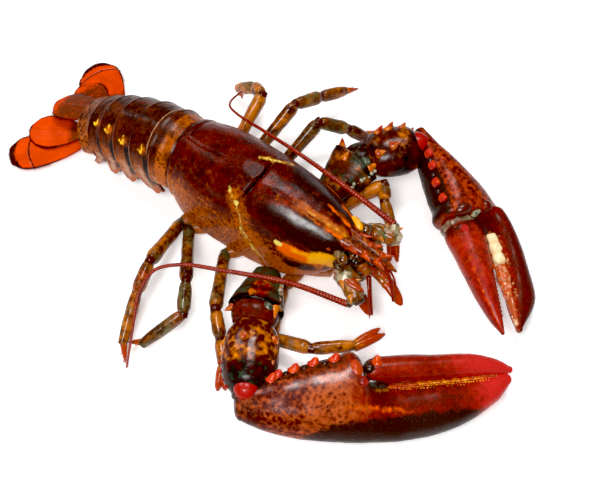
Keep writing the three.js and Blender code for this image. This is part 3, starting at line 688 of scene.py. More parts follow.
def carapace_grid():
    xs = np.concatenate([np.linspace(carapace_rear, -14, 80), np.linspace(-13.6, 46.5, 150)])
    angle = once_around(260)
    half_width, crown, waist, skirt = (v[:, None] for v in carapace_shape(xs))
    x = np.broadcast_to(xs[:, None], (len(xs), len(angle)))
    y, z = oval(angle[None, :], mix(2, 2.3, smooth(x, carapace_rear, -30)))
    rise = np.where(z > 0, crown - waist, waist - skirt)
    flank = np.arccos(np.clip(z, -1, 1)) / np.pi
    away = (x - groove_line(np.minimum(flank * 1.35, 1))[0]) / groove_width
    cut = groove_depth * bump_at(away, 0, 1) + groove_slit * bump_at(away, 0, 0.3)
    cut = cut * (1 - 0.7 * smooth(flank, 0.24, 0.34))
    cut = cut * (1 - 0.8 * smooth(y * half_width, groove_end - 2, groove_end + 3))
    sunk = 1 - cut * smooth(z, -0.5, 0) / half_width
    height = waist + z * rise * sunk
    lean = rear_lean * (crown - height) * smooth(-x, lean_from, -carapace_rear)
    return np.stack([x + lean, y * half_width * sunk, height], -1), flank, away


shell_back, flank, from_groove = carapace_grid()
print("neck groove on the crown at X", round(float(groove_line(0)[0]), 1))

# %% [markdown]
# Relief follows: a raised welt along the rear edge, a fine seam along the middle of the
# back, where the shell splits when the animal moults, and low lumps so that highlights waver.

# %% Relief of the back shell
rear_crown = 46
x, y, z = np.moveaxis(shell_back, -1, 0)
near_rear = x - rear_lean * (rear_crown - z) * smooth(-x, lean_from, -carapace_rear)
seam_path = [
    (-50, -1.2, 46), (-38.4, -3.1, 48.8), (-18.6, -2.4, 51.9), (9, -4, 51.6), (30, -2.4, 48.7), (42, -1.5, 45.6),
    (50, 0, 43),
]
gill_dent = [(-10, -17.5, 43), (-20, -19, 42), (-36, -16.5, 43)]
welt = bump_at(near_rear, carapace_rear + 1.6, 1.1)
shell_back = swell(
    shell_back,
    0.22 * lumps(shell_back, 9, 1) + 0.07 * lumps(shell_back, 3, 2) + 0.3 * welt
    - 0.15 * bump_at(near_rear, carapace_rear + 3.6, 1) - 0.22 * near_line(shell_back, seam_path, 0.8, 0.9)
    - 0.3 * sum(near_line(shell_back, line, 3.5, 0.9) for line in (gill_dent, mirrored(gill_dent))),
)
print("back shell grid:", shell_back.shape[:2])

# %% [markdown]
# Where the colours lie follows the animal: black-brown over the crown, orange low on the flanks, a
# bright orange cheek in front of the groove with one yellow spot, and an orange ribbon beside the middle
# seam towards the beak. Some strokes are painted light: painted shade in black down the crease of the neck
# groove, yellow and amber along the groove's lips that is partly the shell's own yellow line and partly a
# painted highlight on their edges, and a faint painted reflection of the pale floor along the rear welt, low
# on the flanks. Each is a stroke between places on the shell.

# %% Colour map of the back shell
points = shell_back
low = smooth(flank, 0.2, 0.44)
front = smooth(from_groove, 0.4, 3)
groove_lip = [
    (-12.8, -13.6, 48.3), (-8.2, -16.1, 44.4), (-5.8, -17.5, 42.6), (-3.5, -19.8, 40.3), (-0.6, -22.2, 34.4),
    (3.3, -23.4, 31), (6.5, -23.9, 27.1), (10.8, -24, 22.5),
]
far_lip = [(-9.6, 6.3, 52), (-5.2, 8.8, 50.9), (-1.4, 10.8, 50.2), (2.5, 14, 47.8)]


def stroke(line, width, edge=0.6, ragged=0, seed=0):
    return near_line(points, line, width, edge, ragged, seed)


def both(line, width, edge=0.6, ragged=0, seed=0):
    """The same stroke on the right and on the left side."""
    left = stroke(mirrored(line), width, edge, ragged, seed + 5)
    return np.maximum(stroke(line, width, edge, ragged, seed), left)


fibres = lumps(points * vec(0.2, 1, 1), 1.3, 12)  # streaks along the animal
crest = both([(10, -6.5, 51), (26, -5.5, 49), (44, -3.5, 44.8)], 4.2, 0.95, 1.2, 4)
brow = both([(20, -6, 50), (34, -6.5, 46.6), (46, -5, 43.5)], 3.4, 0.95, 0.8, 9)
far_field = stroke([(8, 12, 48.6), (22, 11.5, 46.4), (34, 9.5, 43.8), (44, 7, 42)], 6.5, 0.9, 1.5, 7)
near_groove = stroke(groove_lip[1:], 12, 0.98, 3, 5)
dark_patch = both([(11, -11.5, 49), (22, -12.4, 46.4), (33.1, -11, 43.6), (43, -8.4, 41.5)], 9.5, 0.85, 2.2, 3)
ribbon = stroke([(9.5, -3.3, 51.9), (23.5, -2.7, 50), (35.2, -2.1, 47.4), (45, -1.2, 45)], 4.2, 0.95)
ribbon = ribbon * smooth(x, 8, 24)
cheek = both([(21.6, -19.6, 36.5), (30, -17.8, 34), (36, -14.9, 33.6), (41.5, -12, 34)], 5.4, 0.7, 1.4, 6)
cheek = cheek + 0.14 * fibres
orange = strongest(
    0.2 + mix(0.6, 0.72, smooth(x, -34, 0)) * low + 0.12 * lumps(points, 8, 4) + 0.08 * fibres,
    0.84 * near_groove,
    0.62 * far_field + 0.12 * fibres,
    0.8 * np.maximum(crest * 0.6, brow * smooth(x, 26, 40)) + 0.14 * fibres,
)
red = 0.14 + 0.3 * front * bump_at(y, -3, 9) * (1 - smooth(x, 16, 30))
red = red + 0.2 * smooth(flank, 0.44, 0.52) + 0.12 * lumps(points, 10, 6)
dark = 0.46 + 0.2 * lumps(points, 7, 7) - 0.46 * low - 0.12 * smooth(y, 0, 8)
for amount, where in (
    (0.5, smooth(x, -44, -50)),
    (0.92, dark_patch),
    (0.8, stroke([(12, 4, 51.6), (25, 4.6, 49.2), (37.8, 3.4, 46)], 3, 0.9, 1)),
    (0.2, 0.6 * stroke([(0, -4, 51.4), (6, -8, 50.6), (14, -6, 50.6)], 5, 0.95, 1.2, 8)),
    (0.05, ribbon),
    (0.85, 0.9 * both([(24, -20.8, 28), (32, -17, 26), (40, -12, 26.5)], 4.5, 0.8, 1.4, 8)),
):
    dark = mix(dark, amount, where)
black = strongest(
    # painted shade: black down the crease of the neck groove
    stroke(
        [(-3.6, 7, 50.4), (-3.4, 3, 52), (-3.6, -3, 51.6), (-4.3, -8, 50.1), (-5, -11.8, 48.2), (-6.8, -14.8, 45.4)],
        1, 0.8,
    ),
    0.5 * both([(44, -5, 42), (38, -9, 42.5)], 2.5, 0.9),
    0.45 * stroke([(-50, -1.2, 46), (-38.4, -3.1, 48.8), (-14, -2.4, 52)], 0.7, 0.9),
    0.6 * stroke([(12, -5, 51.2), (29.7, -4.4, 48.3), (41.8, -3.5, 45.2)], 0.6, 0.9),
)
glow = strongest(
    cheek,
    0.6 * both([(30, -5.4, 47.4), (46, -3.4, 44.2)], 1.9, 0.95, 0.4, 3) + 0.1 * fibres,
    0.8 * stroke([(34, 11.6, 42.4), (40, 10.2, 42), (46, 7.6, 42)], 2.6, 0.8, 0.5, 4),
)
amber = strongest(
    both([(36, -14.9, 34), (42.2, -11.7, 34.8), (44.5, -10.5, 31.5)], 6.6, 0.85, 0.8, 2),
    0.6 * both([(26, -18.6, 36.6), (33, -16.6, 35.6)], 2.6, 0.95, 0.6, 2),
    # the groove's near lip: partly the shell's own colour, partly a painted highlight on its edge
    0.34 * stroke(groove_lip, 4.5, 0.98, 1.2, 6),
    # painted highlight on the groove's far lip
    0.44 * stroke(far_lip, 3.2, 0.95, 0.8, 6),
    0.36 * stroke([(24, -3.4, 50), (36, -2.4, 47.2), (45, -1.4, 45)], 1.8, 0.95, 0.3),
)
specks = strongest(
    (0.26 + 0.24 * smooth(flank, 0.14, 0.3) * bump_at(x, -16, 44)) * (1 - cheek),
    0.5 * near_groove * (1 - 0.5 * front),
    0.55 * both([(14, -22.5, 34), (24, -20.8, 29), (36, -14.8, 27)], 5, 0.8, 1.2, 8) * (1 - cheek),
)
yellow = strongest(
    0.95 * both([(17.9, -20, 37.4), (19.8, -19.2, 36.9)], 1.9, 0.6),
    # the groove's near lip: partly the shell's own yellow line, partly a painted highlight on its edge
    (0.5 + 0.14 * lumps(points, 3, 3)) * stroke(groove_lip, 1.9, 0.95, 0.3, 2),
    # painted highlight on the upper near lip of the groove
    stroke([(-8.6, -15.4, 45), (-6.4, -16.7, 43)], 1.9, 0.8),
    # painted highlight on the groove's far lip
    0.62 * stroke(far_lip[:3], 1.6, 0.95, 0.4, 3),
    0.3 * stroke([(12, -4, 51.4), (30, -2.4, 48.7), (42, -1.5, 45.6)], 0.7, 0.9),
)
wet_place = both([(19, -8.5, 49.4), (34, -9.5, 45.6)], 8, 0.9)
back = Clay()
loft(
    back, points, orange=orange, red=red, dark=dark, black=black, tan=0.66 * ribbon + 0.22 * fibres * ribbon,
    # pale: a faint painted reflection of the pale floor along the rear welt, low on the flanks
    glow=glow, amber=amber, specks=specks * (1 - 0.7 * ribbon), yellow=yellow, pale=0.12 * welt * low,
    dry=0.3 + 0.6 * (1 - wet_place),
)
print("colours on the back shell:", len(back.masks[0]))

# %% [markdown]
# The beak between the eyes is a flat spike that droops a little, with three thorns on each side. It grows
# out of the crown, so it starts well inside the shell and rises from it without a step.

# %% The beak with its thorns
beak_root, beak_tip = carapace_front - 14, carapace_front + rostrum_length
beak_top, beak_droop = 42, 4.8
beak_rows = [[0, 8.2, 4.6], [0.13, 7.6, 4], [0.43, 5.6, 3.2], [0.78, 3.2, 2], [1, 0.5, 0.5]]
thorn_reach = profile([[0, 7.5], [0.35, 5], [0.75, 2.6], [1, 0.4]])


def add_beak(clay):
    t = np.linspace(0, 1, 90)
    x = mix(beak_root, beak_tip, t)
    run = np.clip((x - (carapace_front - 10)) / (rostrum_length + 10), 0, 1)
    half_width, half_height = profile(beak_rows)(t)
    across, above = oval(once_around(48), 2.2)
    centre = np.stack([x, 0 * t, beak_top - beak_droop * run**2 - 1.4 * (1 - smooth(t, 0, 0.14))], -1)
    rings = rings_round(centre, vec(0, 1, 0), vec(0, 0, 1), half_width[:, None] * across, half_height[:, None] * above)
    t = t[:, None]
    hollow = -1.3 * bump_at(across, 0, 0.4) * (above > 0) * smooth(t, 0.2, 0.4) * half_height[:, None] / 3
    rings = swell(rings, hollow + 0.08 * lumps(rings, 2.5, 4))
    edge = np.abs(across)
    loft(
        clay, rings, red=0.3 + 0.6 * smooth(edge, 0.5, 0.9), orange=0.6, specks=0.5,
        dark=0.3 + 0.3 * lumps(rings, 3, 2),
        # painted shade: black in the hollow along the top of the beak
        black=0.55 * bump_at(across, 0, 0.42) * (above > 0) * smooth(t, 0.15, 0.3),
        glow=0.3 * smooth(edge, 0.6, 0.9) * (1 - smooth(t, 0.5, 0.9)), dry=0.5,
    )
    for share in (0.4, 0.58, 0.76):
        place = vec(mix(carapace_front - 10, beak_tip, share), 0, beak_top - beak_droop * share**2)
        for side in (-1, 1):
            foot = place + vec(0, side * thorn_reach(share)[0] * 0.8, 0.6)
            add_spine(clay, foot, (1, side * 0.5, 0.25), 5.6, 1.7, 0.05, 16, red=0.95, glow=0.36, dry=0.6)
    lobe_behind_eye = vec(43.6, 8.8, 40.8)
    add_knob(clay, lobe_behind_eye, (4.4, 2.2, 1.8), -0.35, 20, 0.2, glow=0.9, amber=0.62, dry=0.6)
    for side in (-1, 1):  # the small thorns behind the eye sockets
        add_spine(clay, vec(40, side * 9.6, 40.5), (1, side * 0.4, 0.5), 3, 1.2, 0.1, red=0.7, orange=0.6, glow=0.2)
        add_spine(clay, vec(44.5, side * 9.4, 31), (1, side * 0.5, 0.1), 3.6, 1.5, 0, red=0.4, orange=0.8, amber=0.5)


add_beak(back)
finish_piece("back_shell", back, back_paint, "carapace")
print("back shell points:", back.count)

# %% [markdown]
# ## The tail
# Six rings follow the back shell, each tucked under the rear edge of the one before and turned a few
# degrees further down. A ring is an arch over the flesh with a pointed flap on each side. Modelling one
# ring and copying it would miss how they shrink and tilt, so a table holds the run of the tail and one
# formula bends every ring from it.

# %% Sizes of the tail
tail_shape = profile([  # place along the tail: X and height of the crown, lean, half width, arch height, drift
    [0, -51.2, 45, 10, 19.8, 21.8, 0.4],
    [1, -62.9, 44.3, 15.4, 20, 22, 0.6],
    [2, -75.8, 41.2, 20.9, 19.5, 21.6, 1.1],
    [3, -86.9, 36.6, 26.7, 18.9, 20.8, 1.9],
    [4, -96.6, 31, 32.5, 18.2, 19.4, 2.6],
    [5, -104.6, 25, 37.1, 17.5, 17.6, 3.3],
    [6, -112.8, 17.8, 43, 16.2, 15, 4],
])
flap_tips = [(-53.5, 18.5, 19.5), (-56, 19, 9.5), (-71.5, 19, 6.5), (-82.5, 19, 4.8), (-94, 18, 3.2), (-104, 15.5, 2.6)]
shell_step, flap_share, flap_taper, flap_thickness = 0.9, 0.36, 0.42, 1.5
flap_rounding = 3.2
belly_share, belly_power = 0.8, 4


def tail_arch(s, angle, lift):
    """Places on the arch of the tail: s counts the rings, the angle runs from the crown down the flank."""
    x, crown, lean, half_width, arch, drift = tail_shape(np.maximum(s, 0))
    x = x + np.where(s < 0, -s * 12, 0)
    turn = np.radians(lean)
    drop = (1 - np.cos(angle)) * arch - lift * np.cos(angle)
    return np.stack(
        [x + drop * np.sin(turn), np.sin(angle) * (half_width + lift) - drift, crown - drop * np.cos(turn)], -1
    )


def tail_sheet(number, inner, u, v):
    """A ring's outer or inner sheet: u runs to the rear, v from the right flap's point to the left one's."""
    start = number - 1
    tip_x, tip_reach, tip_z = flap_tips[start]
    drift = float(tail_shape(start + 0.5)[5])
    bend = 1 - flap_share
    s = start + 0.03 + u * 0.94
    lift = 0 * u if inner else shell_step * smooth(u, 0.1, 1) - 0.5 * smooth(-u, 0, 0.1)
    side = np.where(v < 0, -1, 1)
    if inner:
        share = np.clip(v / bend, -1, 1)
        edge = tail_arch(s, np.pi * 0.48, 0)
        half_width, shift = tail_shape(np.maximum(s, 0))[[3, 5]]
        bulge = belly_share * (edge[..., 2] - tip_z) * (1 - np.abs(share) ** belly_power)
        y = share * (half_width - flap_thickness) - shift
        arch = np.stack([edge[..., 0], y, edge[..., 2] - bulge], -1)
    else:
        arch = tail_arch(s, np.clip(v / bend, -1, 1) * np.pi / 2, lift)
    t = np.clip((np.abs(v) - bend) / flap_share, 0, 1)
    middle = tail_arch(start + 0.5 + 0 * u, side * np.pi / 2, 0)
    root = tail_arch(s, side * np.pi / 2, lift * (1 - t) - 1.2 * t * smooth(-u, -0.5, -0.1))
    rounding = flap_rounding * (2 * np.clip(u, 0, 1) - 1) ** 2 * t**3
    tip = np.stack([tip_x + 0 * u, side * tip_reach - drift, tip_z + rounding], -1)
    t = t[..., None]
    flap = middle + (root - middle) * (1 - flap_taper * t**1.6) + (tip - middle) * t
    if inner:
        flap[..., 1] -= side * flap_thickness
    return np.where(t > 0, flap, arch)


print("length of the tail along its crown:", round(float(tail_shape(0)[0] - tail_shape(6)[0])), "mm")

# %% [markdown]
# Each ring gets the same relief: a smooth lowered band in front, which slides under its neighbour, a
# shallow furrow behind it, and a rounded welt at the rear edge. Its colours are brown and black over the
# back, pale along the rim, grey-pink on the side above the flap, red on the flap's point, and on the near
# side one yellow, notched mark. The strip behind each neighbour's rim is nearly black, as it stays tucked in.

# %% The six rings
yellow_marks = {2: (-65.2, -16.3, 36), 3: (-77.2, -16.2, 33.2), 4: (-88.2, -14.4, 30.5), 5: (-97.6, -12.8, 26.8)}
hidden_share = 0.2  # how much of a ring lies under the one in front of it


def ring_relief(number, outer, u, aside):
    furrow = bump_at(u, 0.36, 0.05) * (1 - smooth(aside, 0.6, 0.7))
    dent = 0.4 * bump_at(aside, 0.64, 0.03) * smooth(u, 0.1, 0.4)
    height = 0.3 * bump_at(u, 0.93, 0.06) - 0.12 * furrow - dent
    return height + 0.12 * lumps(outer, 5, number) + 0.05 * lumps(outer, 2, number) - 0.5 * smooth(u, 0.975, 1)


def ring_colours(number, outer, u, v):
    aside = np.abs(v)
    crown = 1 - smooth(aside, 0.6, 0.7)
    down = smooth(aside, 0.3, 0.6)
    under = smooth(aside, 0.84, 0.98)
    rim = bump_at(u, 0.955, 0.03)
    side = smooth(aside, 0.3, 0.44) * (1 - smooth(aside, 0.72, 0.9))
    tucked = side * (1 - smooth(u, 0.22, 0.46))  # painted shade: the strip just behind the ring in front, which that ring's rim shadows
    floor_glare_band = smooth(aside, 0.44, 0.6) * bump_at(u, 0.52, 0.34)
    orange = 0.24 + 0.3 * down + 0.14 * lumps(outer, 4, 3)
    dark = 0.58 - 0.3 * down + 0.16 * lumps(outer, 4, 8)
    specks = 0.3 * (1 - smooth(aside, 0.62, 0.7))
    # painted highlight along the rear rim; on the side, a grey-pink painted reflection of the pale floor
    pale = (0.42 + 0.36 * side) * rim * (0.7 + 0.5 * lumps(outer, 6, 2))
    pale = pale + 0.62 * floor_glare_band * (1 - under) * (1 - tucked)
    # painted shade: black on the hidden front edge and on the strip behind the ring in front
    black = np.maximum(0.5 * smooth(-u, -0.1, 0.06), (0.74 + 0.1 * lumps(outer, 3, 4)) * tucked)
    yellow = 0 * u
    if number in (1, 6):  # the first ring has a mottled orange band in front, the last one is mottled all over
        band = smooth(u, -0.1, 0.1) * (1 - smooth(u, 0.5, 0.66)) if number == 1 else 0.7
        orange = orange + mix(0.36, 0.5, down) * band
        specks = specks + ((0.1 if number == 1 else 0.3) + 0.14 * lumps(outer, 4, 5)) * band
        dark = dark - (0.26 - 0.42 * lumps(outer, 3.4, 7)) * band
        pale, black = pale * (1 - 0.8 * band), black * (1 - 0.8 * band)
    if number == 2:  # the pale arc where the first ring ends
        arc = bump_at(u, 0.12, 0.035) * smooth(-aside, -0.62, -0.5) * smooth(v, -0.5, -0.3)
        yellow, pale = 0.25 * arc, np.maximum(pale, 0.8 * arc)
    if number in yellow_marks:
        at = vec(*yellow_marks[number])
        notch = [at + (-1.2, 2.4, 1.5), at + (0.2, -0.4, -1.4), at + (-2.4, 0.2, -0.8)]
        warm = near_line(outer, [at + (0, 0, 1)], 4.2, 0.95, 1, number)
        below = near_line(outer, [at + (0, -1, -3.6), at + (-1, -1.4, -6)], 2.4, 0.9, 0.6, number)
        yellow = np.maximum(yellow, 0.9 * near_line(outer, notch, 1.15, 0.95, 0.3, number))
        orange = np.maximum(orange, 0.8 * warm)
        dark, black, pale = (mask * (1 - 0.7 * warm) for mask in (dark, black, pale))
        black = np.maximum(black, 0.66 * below)
    return {
        "orange": orange, "dark": dark, "specks": specks, "pale": pale, "red": 0.12 * floor_glare_band + 0.8 * under,
        "black": black, "yellow": yellow, "dry": np.maximum(0.6 * crown, 0.9 * tucked),
    }


for number in range(1, 7):
    u = np.concatenate([np.linspace(-hidden_share, 0.9, 26), np.linspace(0.92, 1, 8)])
    if number == 1:  # the first ring reaches further, under the back shell
        u = np.concatenate([np.linspace(-0.45, -0.25, 5), u])
    u, v = np.meshgrid(u, np.linspace(-1, 1, 161), indexing="ij")
    outer = tail_sheet(number, False, u, v)
    outer = swell(outer, ring_relief(number, outer, u, np.abs(v)), around=False)
    ring = Clay()
    plate(ring, outer, tail_sheet(number, True, u, v), **ring_colours(number, outer, u, v))
    finish_piece(f"ring_{number}_shell", ring, tail_paint, f"tail_ring_{number}")
print("tail rings:", sum(faces for name, faces in made if name.startswith("ring_")), "faces")

# %% [markdown]
# ## The tail fan
# Five blades spread behind the last ring: the telson in the middle and two blades on each side. They are
# thin, ribbed plates, bright orange because they hold little dark pigment. The outer blades have a seam
# across them, and every far edge carries a fringe of stiff hairs. The hairs are thin
# pointed slivers of mesh, one row deep, as the fringe is a visible edge and not a fur.

# %% The blades
middle_leaf = profile([(0, 8.5), (0.3, 9.3), (0.7, 9), (0.92, 7), (1, 4.5)])  # share of the length: half width
inner_leaf = profile([(0, 3.5), (0.25, 7.5), (0.6, 9.8), (0.88, 8), (1, 4.5)])
outer_leaf = profile([(0, 3.2), (0.25, 7), (0.6, 9.8), (0.85, 9.2), (1, 5.5)])
fan_blades = {  # root, tip, outline, sideways tilt, share of the length at which the seam lies
    "telson": (vec(-113.6, -4, 15.8), vec(-133.5, -6.5, 7), middle_leaf, 0.1, None),
    "right_tail_blade_inner": (vec(-111, -12.5, 7.4), vec(-135, -26.5, 4.4), inner_leaf, 0, None),
    "left_tail_blade_inner": (vec(-111, 5, 7.4), vec(-131.5, 9, 4.4), inner_leaf, 0, None),
    "right_tail_blade_outer": (vec(-108.5, -17.5, 4.5), vec(-135, -43, 1.9), outer_leaf, 0, 0.73),
    "left_tail_blade_outer": (vec(-107.5, 12, 4.5), vec(-135.5, 26, 1.9), outer_leaf, 0, 0.82),
}
fan_thickness, fan_crown = 1.2, 0.9
fringe_from = 30  # the row of the grid at which the hairs begin
hair_length, hair_spacing, hair_half, hair_thick, hair_sink = 1.5, 0.32, 0.16, 0.1, 0.3
sliver_faces = np.array([[0, 1, 2], [0, 3, 1], [1, 3, 2], [2, 3, 0]])  # a pointed sliver: three feet and a tip


def add_blade(name, root, tip, outline, tilt, seam_at):
    clay = Clay()
    length = np.linalg.norm(tip - root)
    ahead = (tip - root) / length
    across = unit(np.cross(vec(0, tilt, 1), ahead))
    above = unit(np.cross(ahead, across))
    u, v = np.meshgrid(np.linspace(0, 1, 70), np.linspace(-1, 1, 61), indexing="ij")
    half_width = outline(u)[0]
    if name == "left_tail_blade_outer":  # this one is turned so that it shows more of its inner half
        half_width = half_width + 3.2 * smooth(v, 0, 0.6) * bump_at(u, 0.62, 0.36)
    back = u * length - half_width * 0.18 * v * v * smooth(u, 0.6, 1)
    flat = root + back[..., None] * ahead + (v * half_width)[..., None] * across
    outer = flat + (fan_crown * (1 - v * v))[..., None] * above
    inner = flat - (fan_thickness * (0.35 + 0.65 * (1 - v * v)))[..., None] * above
    ribs = 0.03 * np.cos(v * 30) * smooth(u, 0.15, 0.5) + 0.2 * bump_at(v, 0, 0.12) * (1 - smooth(u, 0.3, 0.6))
    rim = np.maximum(smooth(np.abs(v), 0.88, 0.99), smooth(u, 0.95, 1))
    bowed = u + 0.06 * v * v  # the seam and the lobe behind it are bowed
    seam = bump_at(bowed, seam_at, 0.014) if seam_at else 0 * u
    if seam_at:
        ribs = ribs - 0.4 * seam + 0.2 * smooth(bowed, seam_at - 0.3, seam_at)
    outer = swell(outer, ribs + 0.06 * lumps(outer, 2, 5), around=False)
    dark, red = 0.9 * seam + 0.75 * rim * smooth(u, 0.15, 0.4), 0.85 * rim
    brown = 0.75 * (1 - smooth(u, 0.12, 0.4))
    if seam_at:
        dark = np.maximum(dark, 0.7 * smooth(bowed, 0.88, 0.95))
        red = np.maximum(red, 0.9 * smooth(bowed, 0.93, 0.97))
    if name in ("telson", "left_tail_blade_inner"):
        mottle = 1 - 0.6 * smooth(u, 0.6, 1)
        brown = np.maximum(brown, 0.76 * mottle + 0.16 * lumps(outer, 4, 2))
        dark = np.maximum(dark, 0.26 * mottle * (1 - smooth(u, 0.5, 0.9)))
    if name == "right_tail_blade_outer":
        brown = 0.4 * brown
    plate(clay, outer, inner, dark=dark, red=red, brown=brown)
    right, end, left = outer[fringe_from:, :2], outer[[-1, -2], 1:], outer[: fringe_from - 1 : -1, [-1, -2]]
    edge = np.concatenate([right[:, 0], end[0], left[:, 0]])
    outward = np.concatenate([right[:, 0] - right[:, 1], end[0] - end[1], left[:, 0] - left[:, 1]])
    add_fringe(clay, edge, outward, above)
    finish_piece(f"{name}_shell", clay, fan_paint, name)


def add_fringe(clay, edge, outward, above):
    """A row of stiff flat hairs along an edge."""
    walk = walk_along(edge)
    places = np.arange(0, walk[-1], hair_spacing)
    foot, aim = read_along(edge, walk, places), unit(read_along(outward, walk, places))
    turn = unit(np.cross(aim, above))
    size = hair_length * random.uniform(0.6, 1, len(places))[:, None]
    slant = aim + turn * random.uniform(-0.25, 0.25, len(places))[:, None] - above * 0.1
    root = foot - aim * 0.4
    feet = [root + turn * hair_half, root - turn * hair_half, root + above * hair_thick]
    for sliver in np.stack([*feet, foot + slant * size], 1) - above * hair_sink:
        clay.add(sliver, [sliver_faces], {"red": 0.95, "dark": np.array([0.5, 0.5, 0.5, 0.1])})


for name, blade in fan_blades.items():
    add_blade(name, *blade)
print("fan blades:", len(fan_blades))

# %% [markdown]
# ## The claws
# A claw is a swollen hand with a fixed finger, and a thumb that closes against it. The hand is a loft
# whose outer and inner edge come from a table; the thumb lies in the notch that the table leaves. Along
# the inner edge stand blunt spines, and both bites carry teeth: rough grains on the one claw, and white
# molars with red knobs on the other.

# %% Sizes of the claws
claw_power, thumb_power = 2.2, 2.1  # how square their cross-sections are


def claw_frame(wrist, tip, thumb_side, roll):
    """A claw's own directions: ahead to the tips, inward to the thumb, above its back."""
    ahead = unit(tip - wrist)
    level = unit(vec(-ahead[1], ahead[0], 0)) * thumb_side
    turn = np.radians(roll * thumb_side)
    inward = level * np.cos(turn) + np.cross(ahead, level) * np.sin(turn)
    above = np.cross(ahead, inward) if thumb_side > 0 else np.cross(inward, ahead)
    return wrist, ahead, inward, above


right_claw = {
    "where": claw_frame(vec(48.3, -85.4, 17.6), vec(137.3, -2.4, 10.6), 1, 14),
    "palm": [  # distance from the wrist, outer edge, inner edge, half thickness
        [-3, -8.5, 4, 5.5], [4, -12.5, 7, 8.5], [14, -17, 10.2, 11.5], [28, -20.5, 13.8, 13], [42, -23.2, 15.8, 13.5],
        [52, -24.2, 15.5, 12.5], [55, -24.4, 0.6, 11], [68, -25.1, 0, 9.5], [88, -23.4, -0.4, 8],
        [104, -18.2, -0.4, 6.2], [116, -11, -0.2, 4], [122, -4.6, 0.3, 1.6],
    ],
    "thumb": [
        [54.5, 2.5, 10.5, 6], [58, 1.2, 13.4, 8.5], [68, 0.6, 14.4, 8.5], [88, 0.4, 12.8, 7.5], [104, 0.4, 11.8, 6.4],
        [114, 0.2, 9.2, 4.8], [120, 0.2, 6.4, 2.8], [123.2, 0.6, 4, 1.2],
    ],
}
left_claw = {
    "where": claw_frame(vec(38, 77.6, 21.2), vec(127, 17.6, 11.2), -1, 18),
    "palm": [
        [-3, -1.6, 3.5, 4.5], [4, -3, 5.6, 7.5], [14, -7, 7.8, 10.5], [26, -12.8, 9.8, 12.5], [38, -17.8, 11.2, 13],
        [47, -20.2, 11.4, 12.5], [50, -21, -7.5, 11.5], [62, -23, -11, 10], [78, -22.2, -9.4, 8.8],
        [92, -20.5, -6, 7.2], [101, -15.4, -4, 5.4], [108.5, -6, -3, 2.2],
    ],
    "thumb": [
        [49.5, -6, 9, 6], [53, -7.4, 11, 8.5], [63, -6.6, 10.8, 8.5], [78, -3.6, 10.2, 7.2], [90, -0.4, 9.4, 5.6],
        [100, 2.2, 8, 3.8], [107.5, 4.2, 5.6, 1.3],
    ],
}


def claw_place(claw, a, b, c=0):
    """A place a ahead of the wrist, b inward and c above."""
    wrist, ahead, inward, above = claw["where"]
    a, b, c = (np.asarray(k, float)[..., None] for k in (a, b, c))
    return wrist + a * ahead + b * inward + c * above


def claw_rings(claw, piece, sides, power):
    """Rings of a claw piece, rounded off at the wrist and at the far end, and where their points lie on it."""
    rows = claw[piece]
    start, end = rows[0][0], rows[-1][0]
    turn = np.linspace(0, np.pi / 2 * 0.96, 7)
    a = np.concatenate([start - 2.5 * np.sin(turn[::-1]), np.arange(start, end, 0.6)[1:], end + 1.5 * np.sin(turn)])
    outer, inner, half = profile(rows)(a)
    shrink = np.ones(len(a))
    shrink[:7], shrink[-7:] = np.cos(turn[::-1]) ** 0.7, np.cos(turn)
    across, above = oval(once_around(sides), power)
    b = ((outer + inner) / 2)[:, None] + ((inner - outer) / 2 * shrink)[:, None] * across
    c = (half * shrink)[:, None] * above
    a = np.broadcast_to(a[:, None], b.shape)
    return claw_place(claw, a, b, c), a, b, c, across


def on_claw(claw, piece, a, b, sink=0):
    """The place on the back of a claw piece that lies at a along it and b across it."""
    outer, inner, half = profile(claw[piece])(a)
    share = np.clip(np.abs((b - (outer + inner) / 2) / ((inner - outer) / 2)), 0, 1)
    return claw_place(claw, a, b, half * (1 - share**claw_power) ** (1 / claw_power) - sink)


def palm_edge(claw, a):
    """How far inward the palm and its finger reach: the biting edge."""
    return profile(claw["palm"])(a)[1]


for name, claw in (("right", right_claw), ("left", left_claw)):
    print(name, "claw length", claw["thumb"][-1][0] - claw["palm"][0][0], "mm")

# %% [markdown]
# The two claws are painted from the same masks: how far along the claw, how close to the outer edge, and
# whether a point lies on the back or beneath. The right hand is deep red with dark speckles near the
# wrist and a dark outer edge. A row of blunt spines follows its inner edge, a heap of knobs marks the
# thumb's hinge, and fine grains cover the bite.

# %% The right claw
palm_shoulder = (-4.35, 19.85, 12.4)  # middle, half width and height of the palm where the thumb begins


